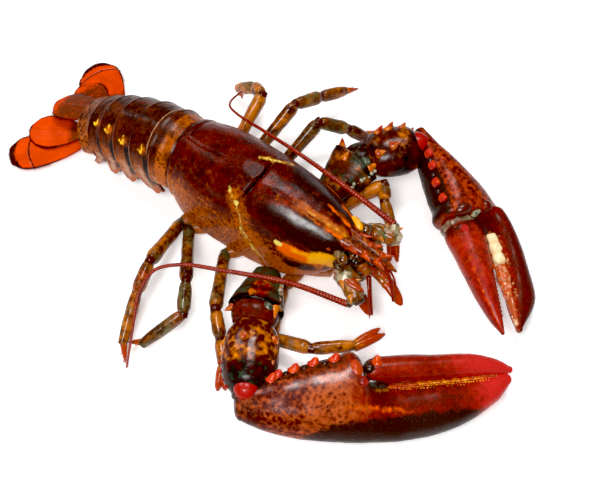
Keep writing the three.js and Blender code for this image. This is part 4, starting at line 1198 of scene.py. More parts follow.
def right_hand():
    clay = Clay()
    claw = right_claw
    _, ahead, inward, above = claw["where"]
    rings, a, b, c, across = claw_rings(claw, "palm", 140, claw_power)
    middle, half, high = palm_shoulder
    palm_height = high * np.clip(1 - np.abs((b - middle) / half) ** claw_power, 0, 1) ** (1 / claw_power)
    beside_thumb = (1 - smooth(a, 53, 68)) * (a > 51.5) * (c > 0.5)  # there the palm slopes down to the finger
    c = c + beside_thumb * np.maximum(palm_height - c, 0)
    rings = claw_place(claw, a, b, c)
    knuckle = 0.8 * bump_at(a, 50, 4) * smooth(across, 0.2, 0.9) * (c > 0)
    grain = 0.1 * lumps(rings, 3.5, 2) * (1 - 0.6 * smooth(a, 50, 70))
    rings = swell(rings, 0.3 * lumps(rings, 10, 1) + grain + knuckle)
    along = smooth(a, 36, 66)
    wavy = b + 1.2 * lumps(rings, 6, 3)
    under_line = smooth(-wavy - 5 * (1 - smooth(a, 22, 48)), 11.2, 17) * smooth(a, 10, 26)
    glowing_line = bump_at(wavy + 0.12 * (a - 60), -11.2, 1.8) * smooth(a, 36, 52) * (1 - smooth(a, 66, 88))
    tip = smooth(a, 94, 122)
    corner = bump_at(a, 56, 5) * smooth(wavy, -6, 0)
    inner_strip = smooth(across, 0.5, 0.78) * (1 - smooth(a, 44, 52)) * (c > -2)
    bite = smooth(across, 0.66, 0.9) * smooth(a, 54, 60)
    outer_half = smooth(-b, -1, 6)
    dark = mix(0.64, 0.54, smooth(a, 8, 30)) + 0.14 * lumps(rings, 9, 3)
    loft(
        clay, rings,
        orange=0.68 * (1 - along) + 0.06 * along + 0.16 * lumps(rings, 9, 6) + 0.26 * glowing_line,
        red=0.08 + 0.12 * along + 0.8 * tip,
        maroon=0.5 * along * (1 - tip) + 0.45 * bump_at(a, 58, 7) * smooth(across, 0, 0.7),
        dark=dark * (1 - along) + 0.16 * along * (1 - tip),
        black=np.maximum(
            0.84 * under_line * (1 - 0.7 * tip), 0.56 * inner_strip + 0.5 * (1 - smooth(a, 0, 13)) + 0.8 * corner
        ),
        glow=0.5 * glowing_line, amber=0.14 * glowing_line + 0.4 * bite * (1 - tip),
        yellow=0.3 * bite * (1 - 0.6 * tip),
        dry=outer_half * (1.15 - 0.85 * smooth(a, 60, 80)) + 0.8 * smooth(b, -9, -5) * smooth(a, 54, 62),
    )
    for spine_a, spine_b in ((12.4, 9), (15.2, 10.4), (23, 12.2), (32.3, 14.3), (42, 15.1)):
        foot = on_claw(claw, "palm", spine_a, spine_b - 1.2, 0.6)
        lean = inward + 0.7 * above + 0.5 * ahead
        add_spine(clay, foot, lean, 3.7, 2.5, 0.1, 18, 0.42, red=0.8, glow=0.45, dry=0.5)
    for knob_a, knob_b in ((19, 9.6), (27.5, 11.4), (37, 12.6)):
        add_knob(clay, on_claw(claw, "palm", knob_a, knob_b, 0.4), (1.5, 1.4, 1.2), 0, 10, 0, black=1)
    lie = np.arctan2(ahead[1], ahead[0])
    add_knob(clay, claw_place(claw, 58, 0.5, -1.5), (8.5, 6.5, 8), lie, 22, 0.3, green=0.3, black=0.85)
    for knob_a, knob_b, sink, radii, turn, detail, lump, colours in (  # the heap of knobs at the thumb's hinge
        (50.3, 8.2, 1.8, (4.9, 3.5, 3.4), -0.75, 20, 0.2, {"rust": 0.9, "red": 0.4, "maroon": 0.25, "dry": 0.6}),
        (53.2, 5.2, 1.2, (3, 2, 2), -0.6, 14, 0.15, {"green": 0.9, "pale": 0.3}),
        (52.4, 1.8, 0.6, (3.1, 2.8, 2.6), 0, 16, 0, {"red": 0.7, "maroon": 0.5, "dry": 0.5}),
    ):
        add_knob(clay, on_claw(claw, "palm", knob_a, knob_b, sink), radii, turn, detail, lump, **colours)
    for row, reach in ((0.3, 118), (1.5, 112), (2.7, 100)):
        for tooth in np.arange(57.5 + row, reach, 1.05 + row * 0.2):
            size = (0.85 - row * 0.14) * random.uniform(0.75, 1.2) * mix(1, 0.6, smooth(tooth, 100, 118))
            b = palm_edge(claw, tooth) - row - 0.1
            place = on_claw(claw, "palm", tooth + random.uniform(-0.3, 0.3), b, 0.25)
            gold = random.uniform(0.3, 0.7) * (1 - smooth(tooth, 108, 118)) * smooth(tooth, 62, 86)
            colours = {"orange": 0.6, "red": 0.5, "glow": 0.35, "amber": gold, "yellow": gold * 0.7}
            add_knob(clay, place, (size, size, size * 0.9), 0, 7, 0, **colours)
    ridge = np.array([on_claw(claw, "palm", k, palm_edge(claw, k) - 0.1, 0.9) for k in np.linspace(52, 122, 60)])
    t = np.linspace(0, 1, 60)[:, None]
    gold = smooth(t, 0.15, 0.5) * (1 - smooth(t, 0.8, 1))
    size = 1.6 * np.sin(mix(0.12, np.pi - 0.3, t)) ** 0.3
    bead = tube(ridge, inward, above, size, size, 16)
    loft(clay, bead, rust=0.7, red=0.5 * smooth(t, 0.7, 1) + 0.4, dark=0.2, amber=0.45 * gold, dry=0.8)
    finish_piece("right_hand_shell", clay, claw_paint, "right_claw_hand")


def right_thumb():
    clay = Clay()
    claw = right_claw
    inward, above = claw["where"][2:]
    rings, a, _, c, across = claw_rings(claw, "thumb", 110, thumb_power)
    rings = swell(rings, 0.2 * lumps(rings, 9, 7) + 0.06 * lumps(rings, 3, 2))
    tip = smooth(a, 84, 118)
    root = 1 - smooth(a, 56, 70)
    bite = bump_at(across, -0.95, 0.12)
    loft(
        clay, rings, rust=0.25 * (1 - tip) + 0.1 * lumps(rings, 9, 3), red=0.3 + 0.65 * tip,
        maroon=0.22 * (1 - tip) + 0.16 * lumps(rings, 6, 5), dark=0.12 * (1 - tip) + 0.2 * root,
        black=0.72 * root * smooth(across, -0.5, 0.5) + 0.25 * smooth(-c, -2, 3),
        amber=0.35 * bite * (1 - tip), dry=0.5,
    )
    tooth_foot = on_claw(claw, "thumb", 61, 11, 0.6)
    add_spine(clay, tooth_foot, inward + above, 3.4, 2.4, 0, 16, 0.36, red=0.6, glow=0.5, dry=0.5)
    add_knob(clay, on_claw(claw, "thumb", 57.2, 8.4, 1), (2.8, 2.5, 2.2), 0, 14, 0, black=0.9, maroon=0.5)
    for tooth in np.arange(60, 117, 1.15):
        size = 0.6 * random.uniform(0.8, 1.3)
        place = claw_place(claw, tooth, profile(claw["thumb"])(tooth)[0] + 0.1, random.uniform(0.6, 1.8))
        gold = 0.4 * (1 - smooth(tooth, 100, 115))
        add_knob(clay, place, (size, size, size), 0, 6, 0, orange=0.9, amber=gold, red=0.3)
    finish_piece("right_thumb_shell", clay, claw_paint, "right_claw_thumb")


right_hand()
right_thumb()
print("right claw faces:", sum(faces for _, faces in made[-2:]))

# %% [markdown]
# The left claw is the crusher. Its palm is more orange, its fixed finger maroon. Along the finger's edge
# runs a soft orange gum, and in it stand three pale blocky molars and a row of red knobs. A knob with a
# higher power is squarer, so the same helper makes molars and knobs.

# %% The left claw
def left_hand():
    clay = Clay()
    claw = left_claw
    _, ahead, inward, above = claw["where"]
    rings, a, _, _, across = claw_rings(claw, "palm", 140, claw_power)
    grain = 0.1 * lumps(rings, 3.5, 5) * (1 - 0.6 * smooth(a, 50, 70))
    rings = swell(rings, 0.3 * lumps(rings, 9, 4) + grain)
    along = smooth(a, 40, 58)
    inner_strip = smooth(across, 0.56, 0.8) * (1 - smooth(a, 42, 50))
    outer_edge = smooth(-across, 0.5, 0.95)
    bite = smooth(across, 0.4, 0.9) * smooth(a, 56, 64)
    loft(
        clay, rings,
        rust=0.62 * (1 - along) + 0.3 * bite + 0.16 * lumps(rings, 5, 2), red=0.3 * (1 - along) + 0.3 * bite,
        maroon=(0.74 + 0.2 * lumps(rings, 7, 8)) * along * (1 - 0.6 * bite) + 0.35 * outer_edge,
        dark=0.56 * (1 - along) + 0.1 * along,
        black=np.maximum(0.88 * inner_strip, 0.42 * along * smooth(-across, -0.2, 0.7)),
        amber=0.25 * bite, pale=0.25 * bite, dry=0.88,
    )
    for spine_a, spine_b in ((12.5, 6.4), (19.5, 7.6), (28.5, 9.4), (37.5, 9.8)):
        foot = on_claw(claw, "palm", spine_a, spine_b - 1, 0.5)
        lean = 0.5 * inward + above + 0.5 * ahead
        add_spine(clay, foot, lean, 3, 2.1, 0, 18, 0.42, red=0.85, glow=0.4, dry=0.4)
    for knob_a, knob_b in ((16, 6.4), (24, 8), (33, 9.2)):
        add_knob(clay, on_claw(claw, "palm", knob_a, knob_b, 0.5), (1.5, 1.4, 1.1), 0, 10, 0, black=1)
    lie = np.arctan2(inward[1], inward[0])
    for place, radii, turn, detail, lump, colours in (  # the knobs of the thumb's hinge
        (on_claw(claw, "palm", 46, 3, 2.6), (5.2, 3.4, 3.6), lie, 18, 0.1, {"maroon": 0.9, "red": 0.4, "black": 0.3}),
        (on_claw(claw, "palm", 48.5, -4.2, 2.2), (3.6, 2, 2.6), lie + 0.5, 16, 0.2, {"green": 0.95, "pale": 0.36}),
        (on_claw(claw, "palm", 47, -9.6, 2.2), (3.6, 3.4, 3.2), 0, 16, 0.1, {"maroon": 0.8, "red": 0.5}),
        (claw_place(claw, 50, 2.5), (9.5, 4, 8), lie, 20, 0.3, {"green": 0.5, "pale": 0.3, "black": 0.3}),
    ):
        add_knob(clay, place, radii, turn, detail, lump, **colours)
    gum = np.array([claw_place(claw, k, palm_edge(claw, k) - 0.6, 1.6) for k in np.linspace(57, 104, 60)])
    size = 2.6 * np.sin(np.linspace(0.25, np.pi - 0.3, 60)[:, None]) ** 0.6
    gum = tube(gum, inward, above, size, size, 24)
    loft(clay, swell(gum, 0.3 * lumps(gum, 2.5, 3)), orange=0.8, red=0.3, pale=0.12, amber=0.1)
    lie = np.arctan2(ahead[1], ahead[0])
    for tooth_a, tooth_b, long, wide in ((62, -10.2, 3, 2.7), (67, -9.6, 3.3, 3), (72.6, -8.8, 3.6, 3)):
        place = claw_place(claw, tooth_a, tooth_b, 2.6)
        add_knob(clay, place, (long, wide, 3.3), lie, 24, 0.3, 3, pale=0.9, amber=0.6)
        add_knob(clay, place - 2.4 * above, (long + 0.7, wide + 1, 2.4), lie, 18, 0.3, glow=0.8, red=0.4)
    for tooth_a, tooth_b, size in ((78.6, -8.2, 3.4), (82.6, -7.3, 3.9), (87, -6.4, 3.2), (90.8, -5.8, 2.6)):
        radii, colours = (size, size * 0.9, size), {"orange": 0.8, "red": 0.3, "glow": 0.4, "pale": 0.3}
        add_knob(clay, claw_place(claw, tooth_a, tooth_b, 2), radii, lie, 18, 0.5, 2.4, **colours)
    for tooth in np.arange(93, 106, 1.8):
        place = claw_place(claw, tooth, palm_edge(claw, tooth) - 0.4, 1.2)
        add_knob(clay, place, (1.3, 1.3, 1.3), 0, 10, 0.1, orange=0.7, glow=0.5, pale=0.5)
    finish_piece("left_hand_shell", clay, claw_paint, "left_claw_hand")


def left_thumb():
    clay = Clay()
    claw = left_claw
    inward, above = claw["where"][2:]
    rings, a, _, _, across = claw_rings(claw, "thumb", 110, thumb_power)
    rings = swell(rings, 0.2 * lumps(rings, 9, 2) + 0.06 * lumps(rings, 3, 1))
    tip = smooth(a, 70, 104)
    root = 1 - smooth(a, 52, 62)
    loft(
        clay, rings, rust=0.4 - 0.3 * tip, red=0.42,
        maroon=0.26 + 0.35 * root + 0.1 * tip + 0.16 * lumps(rings, 6, 1), black=0.45 * root,
        # glow: a painted highlight, an orange streak along the thumb's upper side
        glow=0.5 * bump_at(across, 0.72, 0.1) * smooth(a, 60, 80), dry=0.6,
    )
    tooth_foot = on_claw(claw, "thumb", 55.5, 6, 0.6)
    add_spine(clay, tooth_foot, inward + above, 3.4, 2, 0, 16, orange=0.7, red=0.9)
    for tooth in np.arange(62, 100, 2.1):
        place = claw_place(claw, tooth, profile(claw["thumb"])(tooth)[0], 0.4)
        add_knob(clay, place, (1.1, 1.1, 1.1), 0, 8, 0, orange=0.8, red=0.5, pale=0.2)
    finish_piece("left_thumb_shell", clay, claw_paint, "left_claw_thumb")


left_hand()
left_thumb()
print("left claw faces:", sum(faces for _, faces in made[-2:]))

# %% [markdown]
# ## The arms
# Each claw hangs on two swollen sections, the upper arm and the forearm. They are dark, mottled with
# orange like a leopard, and armed with short spines. Between the sections lies soft folded skin, with a
# smooth hinge knob beside each fold.

# %% Upper arms and forearms
arms = {  # shoulder, elbow, wrist
    "right": (vec(17, -25.5, 14), vec(25.7, -47.3, 19.5), vec(46.5, -82.5, 19.5)),
    "left": (vec(15, 25.5, 14), vec(18.3, 48.5, 21), vec(39, 72.4, 22.5)),
}
upper_rows = [[0, 6.5, 5], [0.3, 9.2, 6.5], [0.7, 12, 8], [0.93, 13, 8.8], [1, 11, 7.5]]
fore_rows = [[0, 8.4, 6.5], [0.2, 12, 9.5], [0.55, 13.3, 10.5], [0.85, 11.2, 9.5], [1, 7, 6.5]]
forearm_start = 0.14  # share of the way from the elbow at which the forearm's shell begins
wrist_balls = {  # rise, set back, radii, turn and colours of the smooth ball at the wrist
    "right": (3.2, 0.6, (5.9, 5.6, 4.6), 0, {"ball": 1}),
    "left": (3.4, 1.5, (6.4, 5.8, 4.8), 0.6, {"ball": 0.7, "red": 0.9, "black": 0.3}),
}
forearm_spines = {  # share of the length, how far to the side, how high, length
    "right": [(0.34, -0.25, 9.9, 2.6), (0.3, 0.86, 4.5, 3.4), (0.6, 0.82, 4.2, 2.4)],
    "left": [
        (0.2, -0.35, 8.6, 4.2), (0.48, -0.2, 9.8, 4.6), (0.3, 0.7, 6.6, 4.4), (0.5, 0.74, 6.4, 4.8),
        (0.72, 0.6, 6.6, 4.4),
    ],
}


def add_upper_arm(side):
    clay = Clay()
    shoulder, elbow, _ = arms[side]
    along = unit(elbow - shoulder)
    across, up = frame_of(along)
    rings, t, _ = limb_rings(shoulder, elbow, upper_rows, 96, 70)
    rings = swell(rings, 0.35 * lumps(rings, 6, 2) + 0.12 * lumps(rings, 2.5, 3) + 0.5 * bump_at(t, 0.94, 0.03))
    rim = smooth(t, 0.8, 0.9)
    if side == "right":
        patch = [mix(shoulder, elbow, 0.62) + up * 8, mix(shoulder, elbow, 0.78) + up * 8.5]
        patch = near_line(rings, patch, 6.5, 0.7, 1.5, 2)
        paint = {
            "orange": 0.2 + 0.62 * patch + 0.15 * lumps(rings, 4, 1),
            "red": 0.3 + 0.5 * patch * (0.6 + 0.6 * lumps(rings, 3, 4)), "green": 0.6 * (1 - patch) * (1 - rim),
            "dark": 0.35 + 0.28 * patch + 0.2 * rim, "black": 0.52 * rim + 0.2 * (1 - patch), "dry": 0.75,
        }
    else:
        paint = {
            "orange": 0.34 + 0.34 * lumps(rings, 4.5, 5), "red": 0.15 + 0.2 * lumps(rings, 4, 2),
            "green": 0.26 + 0.4 * lumps(rings, 5, 1), "dark": 0.3,
            "black": 0.42 + 0.2 * rim + 0.25 * lumps(rings, 7, 6), "dry": 0.94,
        }
    loft(clay, rings, **paint)
    edge = across if side == "left" else -across
    for foot, direction, length, radius, bend, sides, colours in (
        (edge * 9.5 - along * 1.5, edge + 1.2 * along, 7, 2.8, 0.05, 18, {"yellow": 0.2, "red": 0.5}),
        (up * 4 - edge * 9, along - 0.3 * edge, 5, 2.2, 0, 14, {"yellow": 0.2, "red": 0.4}),
        (edge * 3 + up * 7.4 - along * 4, along + up, 4, 1.8, 0, 14, {"red": 0.4}),
    ):
        add_spine(clay, elbow + foot, direction, length, radius, bend, sides, orange=0.9, **colours)
    for k in range(9):  # worm tubes and small barnacles that grow on the old shell
        place = shoulder + along * (9 + k * 1.9) - edge * (8.2 + k * 0.45 + random.uniform(-0.8, 0.8))
        place = place + up * random.uniform(3.4, 5.6)
        size = random.uniform(0.8, 1.5)
        crust = {"pale": random.uniform(0.2, 0.9), "orange": 0.5, "black": random.uniform(0, 0.7)}
        add_knob(clay, place, (size, size, size), 0, 9, 0.2, **crust)
    knob = elbow + up * 6.2 - edge * 5.8 + along * 0.6
    add_knob(clay, knob, (2.8, 2.2, 2), 0, 16, 0.15, green=0.8, pale=0.3, orange=0.3)
    finish_piece(f"{side}_upper_arm_shell", clay, arm_paint, f"{side}_upper_arm")


def add_forearm(side):
    clay = Clay()
    _, elbow, wrist = arms[side]
    start = mix(elbow, wrist, forearm_start)
    ahead = unit(wrist - elbow)
    across, up = frame_of(ahead)
    rings, t, angle = limb_rings(start, wrist, fore_rows, 112, 86, 1.9)
    rings, t = rounded(rings, t, 2, 0.2, 6)
    rings = swell(rings, 0.22 * lumps(rings, 6, 6) + 0.1 * lumps(rings, 2.5, 7))
    if side == "right":
        shade = smooth(t, 0.5, 0.75)
        # painted highlight: a faint pale stripe along the crest of the forearm
        glare_streak = bump_at(np.cos(angle), 0, 0.25) * smooth(np.sin(angle), 0.2, 0.9)
        paint = {
            "orange": 0.86 - 0.62 * shade + 0.1 * lumps(rings, 5, 1), "red": 0.15,
            "dark": 0.66 + 0.12 * lumps(rings, 6, 3), "black": 0.58 * shade + 0.12 * lumps(rings, 6, 2),
            "yellow": 0.5 * (1 - shade) * (0.5 + 0.5 * lumps(rings, 4, 9)), "green": 0.34 * shade,
            "pale": 0.14 * glare_streak, "dry": 0.3 + 0.3 * shade,
        }
    else:
        paint = {
            "orange": 0.44 + 0.3 * lumps(rings, 4.5, 1), "red": 0.3 + 0.5 * smooth(t, 0.8, 0.95),
            "dark": 0.6 + 0.15 * lumps(rings, 6, 3), "black": 0.44 + 0.3 * lumps(rings, 7, 3),
            "yellow": 0.12 + 0.1 * lumps(rings, 3, 3), "green": 0.1, "dry": 0.6,
        }
    loft(clay, rings, **paint)
    rise, back, radii, turn, colours = wrist_balls[side]
    add_knob(clay, wrist + up * rise - ahead * back, radii, turn, 26, 0.12, dry=0.6, **colours)
    for share, aside, rise, length in forearm_spines[side]:
        foot = mix(start, wrist, share) + across * aside * 12.4 + up * rise
        lean = 0.9 * ahead + aside * across + 0.8 * up
        add_spine(clay, foot, lean, length, 2, 0.05, 16, 0.65, orange=0.95, red=0.5)
    edge = across if side == "left" else -across
    for share in (0.3, 0.45, 0.58, 0.7, 0.82, 0.92):
        foot = mix(start, wrist, share) + edge * (11.6 - 4 * smooth(share, 0.6, 1)) + up * 0.5
        add_spine(clay, foot, 0.7 * ahead + edge, 3.6, 1.7, 0, 14, orange=0.8, red=0.8 * smooth(share, 0.4, 0.6))
    finish_piece(f"{side}_forearm_shell", clay, arm_paint, f"{side}_forearm")


def add_skin_fold(name, centre, along, width, height, length, folds=2, **masks):
    """Hinge skin between two sections: a short smooth collar with a few folds round it."""
    clay = Clay()
    rows = [[0, width, height], [0.5, width * 1.02, height * 1.02], [1, width * 0.92, height * 0.92]]
    rings, t, _ = limb_rings(centre - along * length / 2, centre + along * length / 2, rows, 64, 34)
    loft(clay, swell(rings, 0.3 * np.sin(t * folds * 2 * np.pi) + 0.12 * lumps(rings, 4, 3)), **masks)
    finish_piece(name, clay, skin_paint)


for side, claw, wide, brown in (("right", right_claw, 10.9, 0.5), ("left", left_claw, 8.6, 0.25)):
    add_upper_arm(side)
    add_forearm(side)
    shoulder, elbow, wrist = arms[side]
    hand_ahead, arm_ahead = claw["where"][1], unit(wrist - elbow)
    add_skin_fold(
        f"{side}_elbow_skin", mix(elbow, wrist, 0.06), unit(arm_ahead + unit(elbow - shoulder)),
        wide, wide * 0.72 + 0.6, 9.5, 0.6, dark=0.9 - brown, red=brown, green=0.44 - 0.5 * brown, dry=0.8,
    )
    fold = unit(hand_ahead + arm_ahead)
    add_skin_fold(f"{side}_wrist_skin", wrist + hand_ahead * 0.5, fold, 6.2, 5.6, 8, 2, dark=0.5, green=0.3)
print("arm faces:", sum(faces for name, faces in made if "arm_shell" in name))

# %% [markdown]
# ## The walking legs
# Eight legs, four on each side, each of three long sections and a foot. The front two pairs end in small
# pincers, the others in a claw. The joints are dark and slightly swollen, and the feet have tufts of
# bristles. One function makes any section, because only the joints' places differ.

# %% Places of the joints, from the hip to the tip
walking_legs = {
    "right_leg_1": [[25, -24, 6], [36.8, -50.5, 9.5], [56, -45, 12], [72, -31, 11], [76, -17, 10]],
    "right_leg_2": [[-9, -26, 6.5], [9.5, -57, 19], [18.5, -65.5, 12], [27.5, -75, 5], [33, -82, 1.5]],
    "right_leg_3": [[-32, -25, 6.5], [-10, -54, 21], [-2.5, -66.5, 15], [-12, -87, 5.5], [-19, -89, 2]],
    "right_leg_4": [[-37, -25, 6.5], [-30, -56, 22], [-28, -70, 13], [-20, -92, 5], [-14, -98, 1]],
    "left_leg_1": [[22, 26, 6.5], [36, 46, 18], [40.5, 39.5, 15], [51, 31, 10.5], [59, 17.5, 6]],
    "left_leg_2": [[-16, 26, 6.5], [-10, 55, 22], [2, 64, 15], [10, 70, 6], [14, 76, 1]],
    "left_leg_3": [[-31, 25, 6.5], [-26, 57, 22], [-20, 71, 17], [-14, 84, 12], [-10, 91, 9]],
    "left_leg_4": [[-42, 24, 6.5], [-43, 52, 22], [-51, 56, 17], [-62, 56, 7], [-59, 55, 2]],
}
leg_shade = {"right_leg_2": 0.14, "right_leg_3": 0.22, "right_leg_4": 0.08, "left_leg_2": 0.3, "left_leg_3": 0.18}
leg_radius, pincer_spread = 3.3, 3.6
leg_rows = {  # share of the length, half width and half height in leg radii
    "merus": [[0, 0.78, 0.86], [0.12, 0.9, 1], [0.6, 0.93, 1.08], [0.93, 1.04, 1.16], [1, 0.86, 0.96]],
    "carpus": [[0, 0.8, 0.88], [0.15, 0.92, 1.02], [0.85, 1, 1.1], [1, 0.82, 0.92]],
    "shank": [[0, 0.78, 0.88], [0.12, 0.9, 1.02], [0.7, 0.86, 0.98], [1, 0.66, 0.76]],
    "nail": [[0, 0.56, 0.66], [0.5, 0.4, 0.46], [1, 0.1, 0.1]],
    "pincer": [[0, 0.64, 0.7], [0.4, 0.66, 0.74], [0.8, 0.48, 0.56], [1, 0.16, 0.18]],
}


def towards(a, b, distance):
    return a + unit(b - a) * distance


def leg_part(clay, start, end, kind, seed, shade=0):
    rows = [[t, w * leg_radius, h * leg_radius] for t, w, h in leg_rows[kind]]
    rings, t, angle = limb_rings(start, end, rows, 36, 50, 2.15)
    pointed = kind in ("nail", "pincer")
    if not pointed:
        rings, t = rounded(rings, t, 0.8, 0.1, 4)
    ridge = 0.25 * bump_at(np.sin(angle), 1, 0.05)
    rings = swell(rings, 0.16 * lumps(rings, 3, seed) + 0.05 * lumps(rings, 1.2, seed) + ridge)
    if pointed:
        loft(clay, rings, red=0.5 + 0.45 * t, orange=0.7 - 0.2 * t, dark=0.3 * (1 - t))
        return
    ends = np.maximum(1 - smooth(t, 0, 0.1), smooth(t, 0.9, 1))
    top = smooth(np.sin(angle), -0.2, 0.8)
    hip = kind == "merus"  # this section is greener and paler where it leaves the body
    loft(
        clay, rings, orange=0.55 - shade + 0.3 * lumps(rings, 5, seed), red=0.22 + 0.3 * lumps(rings, 5, seed + 3),
        dark=0.18 + 0.7 * shade + 0.16 * top + 0.24 * lumps(rings, 4, seed + 1), black=0.3 * ends + 0.06 * top,
        green=0.24 + 0.5 * shade + 0.34 * lumps(rings, 6, seed + 2) + 0.6 * hip * (1 - smooth(t, 0, 0.25)),
        pale=0.35 * hip * (1 - smooth(t, 0, 0.12)),
    )


def add_bristles(clay, start, end, count, length):
    """Short stiff hairs round the end of a foot."""
    ahead = unit(end - start)
    side, up = frame_of(ahead)
    for _ in range(count):
        t, turn = random.uniform(0.1, 0.95), random.uniform(0, 2 * np.pi)
        out = side * np.cos(turn) + up * np.sin(turn)
        foot = mix(start, end, t) + out * leg_radius * mix(0.5, 0.15, t)
        tip = foot + (out + 0.8 * ahead) * length * random.uniform(0.5, 1)
        flat = np.cross(out, ahead) * 0.12
        sliver = np.array([foot - flat, foot + flat, foot - out * 0.1 + ahead * 0.2, tip])
        clay.add(sliver, [sliver_faces], {"dark": np.array([0.3, 0.3, 0.3, 0]), "orange": 0.8})


print("joints of each leg:", len(walking_legs["left_leg_1"]))

# %% [markdown]
# The sections leave a small gap at each joint, as hard shell can't bend. A dark collar of skin fills it.
# All the collars of one leg are one piece, as they are one skin that shows through in several places.

# %% All the legs
collar_rows = [[0, 2.3, 2.6], [0.5, 2.5, 2.8], [1, 2.1, 2.3]]
for order, (name, places) in enumerate(walking_legs.items()):
    hip, knee, heel, ankle, toe = (vec(*p) for p in places)
    merus, carpus, foot, joints = Clay(), Clay(), Clay(), Clay()
    shade = leg_shade.get(name, 0)
    has_pincer = name[-1] in "12"
    leg_part(merus, hip, towards(knee, hip, 1.4), "merus", order, shade)
    leg_part(carpus, towards(knee, heel, 1.6), towards(heel, knee, 1.2), "carpus", order + 10, shade)
    leg_part(foot, towards(heel, ankle, 1.2), ankle, "shank", order + 20, shade)
    nail_root = towards(ankle, heel, 1.5)
    leg_part(foot, nail_root, toe, "pincer" if has_pincer else "nail", order + 30)
    if has_pincer:
        aside = frame_of(unit(toe - ankle))[0] * (pincer_spread if name.startswith("left") else -pincer_spread)
        leg_part(foot, nail_root + aside * 0.3, toe + aside, "pincer", order + 40)
    add_bristles(foot, ankle, toe, 26, 1.3)
    for joint, away in ((knee, hip), (heel, knee)):
        onward = unit(joint - away)
        rings, _, _ = limb_rings(joint - onward * 2.4, joint + onward * 2, collar_rows, 24, 14)
        loft(joints, swell(rings, 0.12 * lumps(rings, 1.5, 2)), dark=0.35, red=0.2)
    for part, clay in (("merus", merus), ("carpus", carpus), ("foot", foot)):
        finish_piece(f"{name}_{part}_shell", clay, leg_paint, f"{name}_{part}")
    finish_piece(f"{name}_joint_skin", joints, skin_paint)
print("legs:", len(walking_legs), "faces:", sum(faces for name, faces in made if "_leg_" in name))

# %% [markdown]
# ## The breastplate
# Under the animal lies a narrow keel with a short stub for each leg. It hardly shows, but it is what the
# lobster rests on, so its flat foot stays exactly where the solid has it.

# %% Keel and hip stubs
keel_rows = [  # X: half width, height of the underside, height of the upper side
    [-46, 7, 4, 8.5], [-34, 10.5, 0.6, 9], [-22, 12, 0, 9.2], [22, 12, 0, 9.2], [32, 9, 1.5, 9.2], [40, 6, 5, 10],
]
keel_flare = 1.17  # how much wider the upper side is than the flat foot
stub_rows = [[0, 3.6, 3.6], [0.6, 3.6, 3.42], [0.9, 3.3, 3.2], [1, 2.6, 2.6]]
stub_roots = {"1": 26, "2": 4, "3": -14, "4": -30}  # X at which the stub of each pair leaves the keel


def add_breastplate():
    clay = Clay()
    xs = np.linspace(-46, 40, 90)[:, None]
    width, low, high = profile(keel_rows)(xs[:, 0])[..., None]
    low = np.maximum(low, 0)
    corners = np.array([(-1, 0), (1, 0), (keel_flare, 1), (-keel_flare, 1), (-1, 0)])
    steps = np.linspace(0, 1, 9)[:-1, None]
    aside, share = np.concatenate([mix(a, b, steps) for a, b in zip(corners, corners[1:])]).T
    groove = 0.5 * bump_at(np.mod(xs, 15), 7.5, 1.2) * (share > 0.2)
    rings = [xs + 0 * share, width * aside * (1 - groove * 0.05), low + (high - low) * share]
    rings = np.stack(rings, -1)
    loft(clay, rings, dark=0.2 + 0.2 * lumps(rings, 6, 1), red=0.3 + 0.2 * lumps(rings, 9, 2))
    for name, places in walking_legs.items():
        root = vec(stub_roots[name[-1]], 8 if name.startswith("left") else -8, 5.5)
        rings, t, _ = limb_rings(root, mix(vec(*places[0]), root, 0.02), stub_rows, 32, 24)
        loft(clay, swell(rings, 0.12 * np.sin(t * 18)), dark=0.15 + 0.3 * t, red=0.3)
    finish_piece("breastplate_shell", clay, belly_paint, "breastplate")


add_breastplate()
print("breastplate faces:", made[-1][1])

# %% [markdown]
# ## The head
# The small parts of the head crowd under the beak: black eyes on short stalks, the knobbly bases of the
# long whiskers, the thin pair of feelers, and the jaw legs that reach forward below. The long whiskers
# are built from hundreds of tiny rings; a real one is, too, and the rings catch the light as a dotted line.
# That dotted line is also painted: a painted highlight on each ring's swell and painted shade between rings.

# %% Whiskers, feelers and jaw legs
antennae = {
    "right": {
        "sections": [[49, -11, 31], [56, -14, 28.5], [64, -18, 26]],
        "path": [
            [60.5, -22.3, 27], [34, -30, 30], [4, -42.5, 29], [-15, -51, 27], [-24, -60, 25], [-24.5, -71, 20],
            [-18, -86, 11], [-11, -100.5, 3],
        ],
    },
    "left": {
        "sections": [[47.5, 12.4, 31], [55, 16.8, 31], [62, 18.3, 30]],
        "path": [
            [56.6, 22.3, 33.6], [28, 24.6, 35.5], [-3, 27.8, 34], [-26, 30.5, 30], [-45, 33.5, 25], [-53, 37.5, 21],
            [-56, 44, 17], [-56, 52, 14],
        ],
    },
}
ring_spacing, bead_length = 0.3, 1.52  # of the mesh, and of one real ring of the whisker


def whip_rings(points, root, tip, sides, ringed):
    """A long ringed whip, and for its paint the share of its length and where its rings swell."""
    length = smooth_path(points, 400)[2]
    count = max(int(length / ring_spacing), 12)
    path, ahead, length = smooth_path(points, count)
    t = np.linspace(0, 1, count)[:, None]
    beat = np.abs(np.sin(t * length / bead_length * np.pi))
    radius = mix(root, tip, t**0.8) * (1 + ringed * (beat - 0.5))
    radius[-4:, 0] *= np.array([0.9, 0.75, 0.5, 0.2])
    return tube(path, *frame_of(ahead), radius, radius, sides), t, beat, length


for side in ("right", "left"):
    clay = Clay()
    rings, t, beat, length = whip_rings(antennae[side]["path"], 1.6, 0.5, 12, 0.16)
    # painted highlight on each ring's swell, painted shade in the narrow part between rings
    loft(clay, rings, pale=0.35 * beat * (1 - 0.5 * t), dark=0.5 * (1 - beat))
    finish_piece(f"{side}_whisker", clay, whisker_paint, f"{side}_antenna")
    print(side, "whisker length", round(length), "mm")

# %% [markdown]
# A whisker's base has two knobbly sections and a socket, with short spines and a flat scale beside them.
# The feelers are whips like the whiskers, two to a side. The jaw legs are flat, bent twice and bristly, so
# they are oval rings round a smooth path.

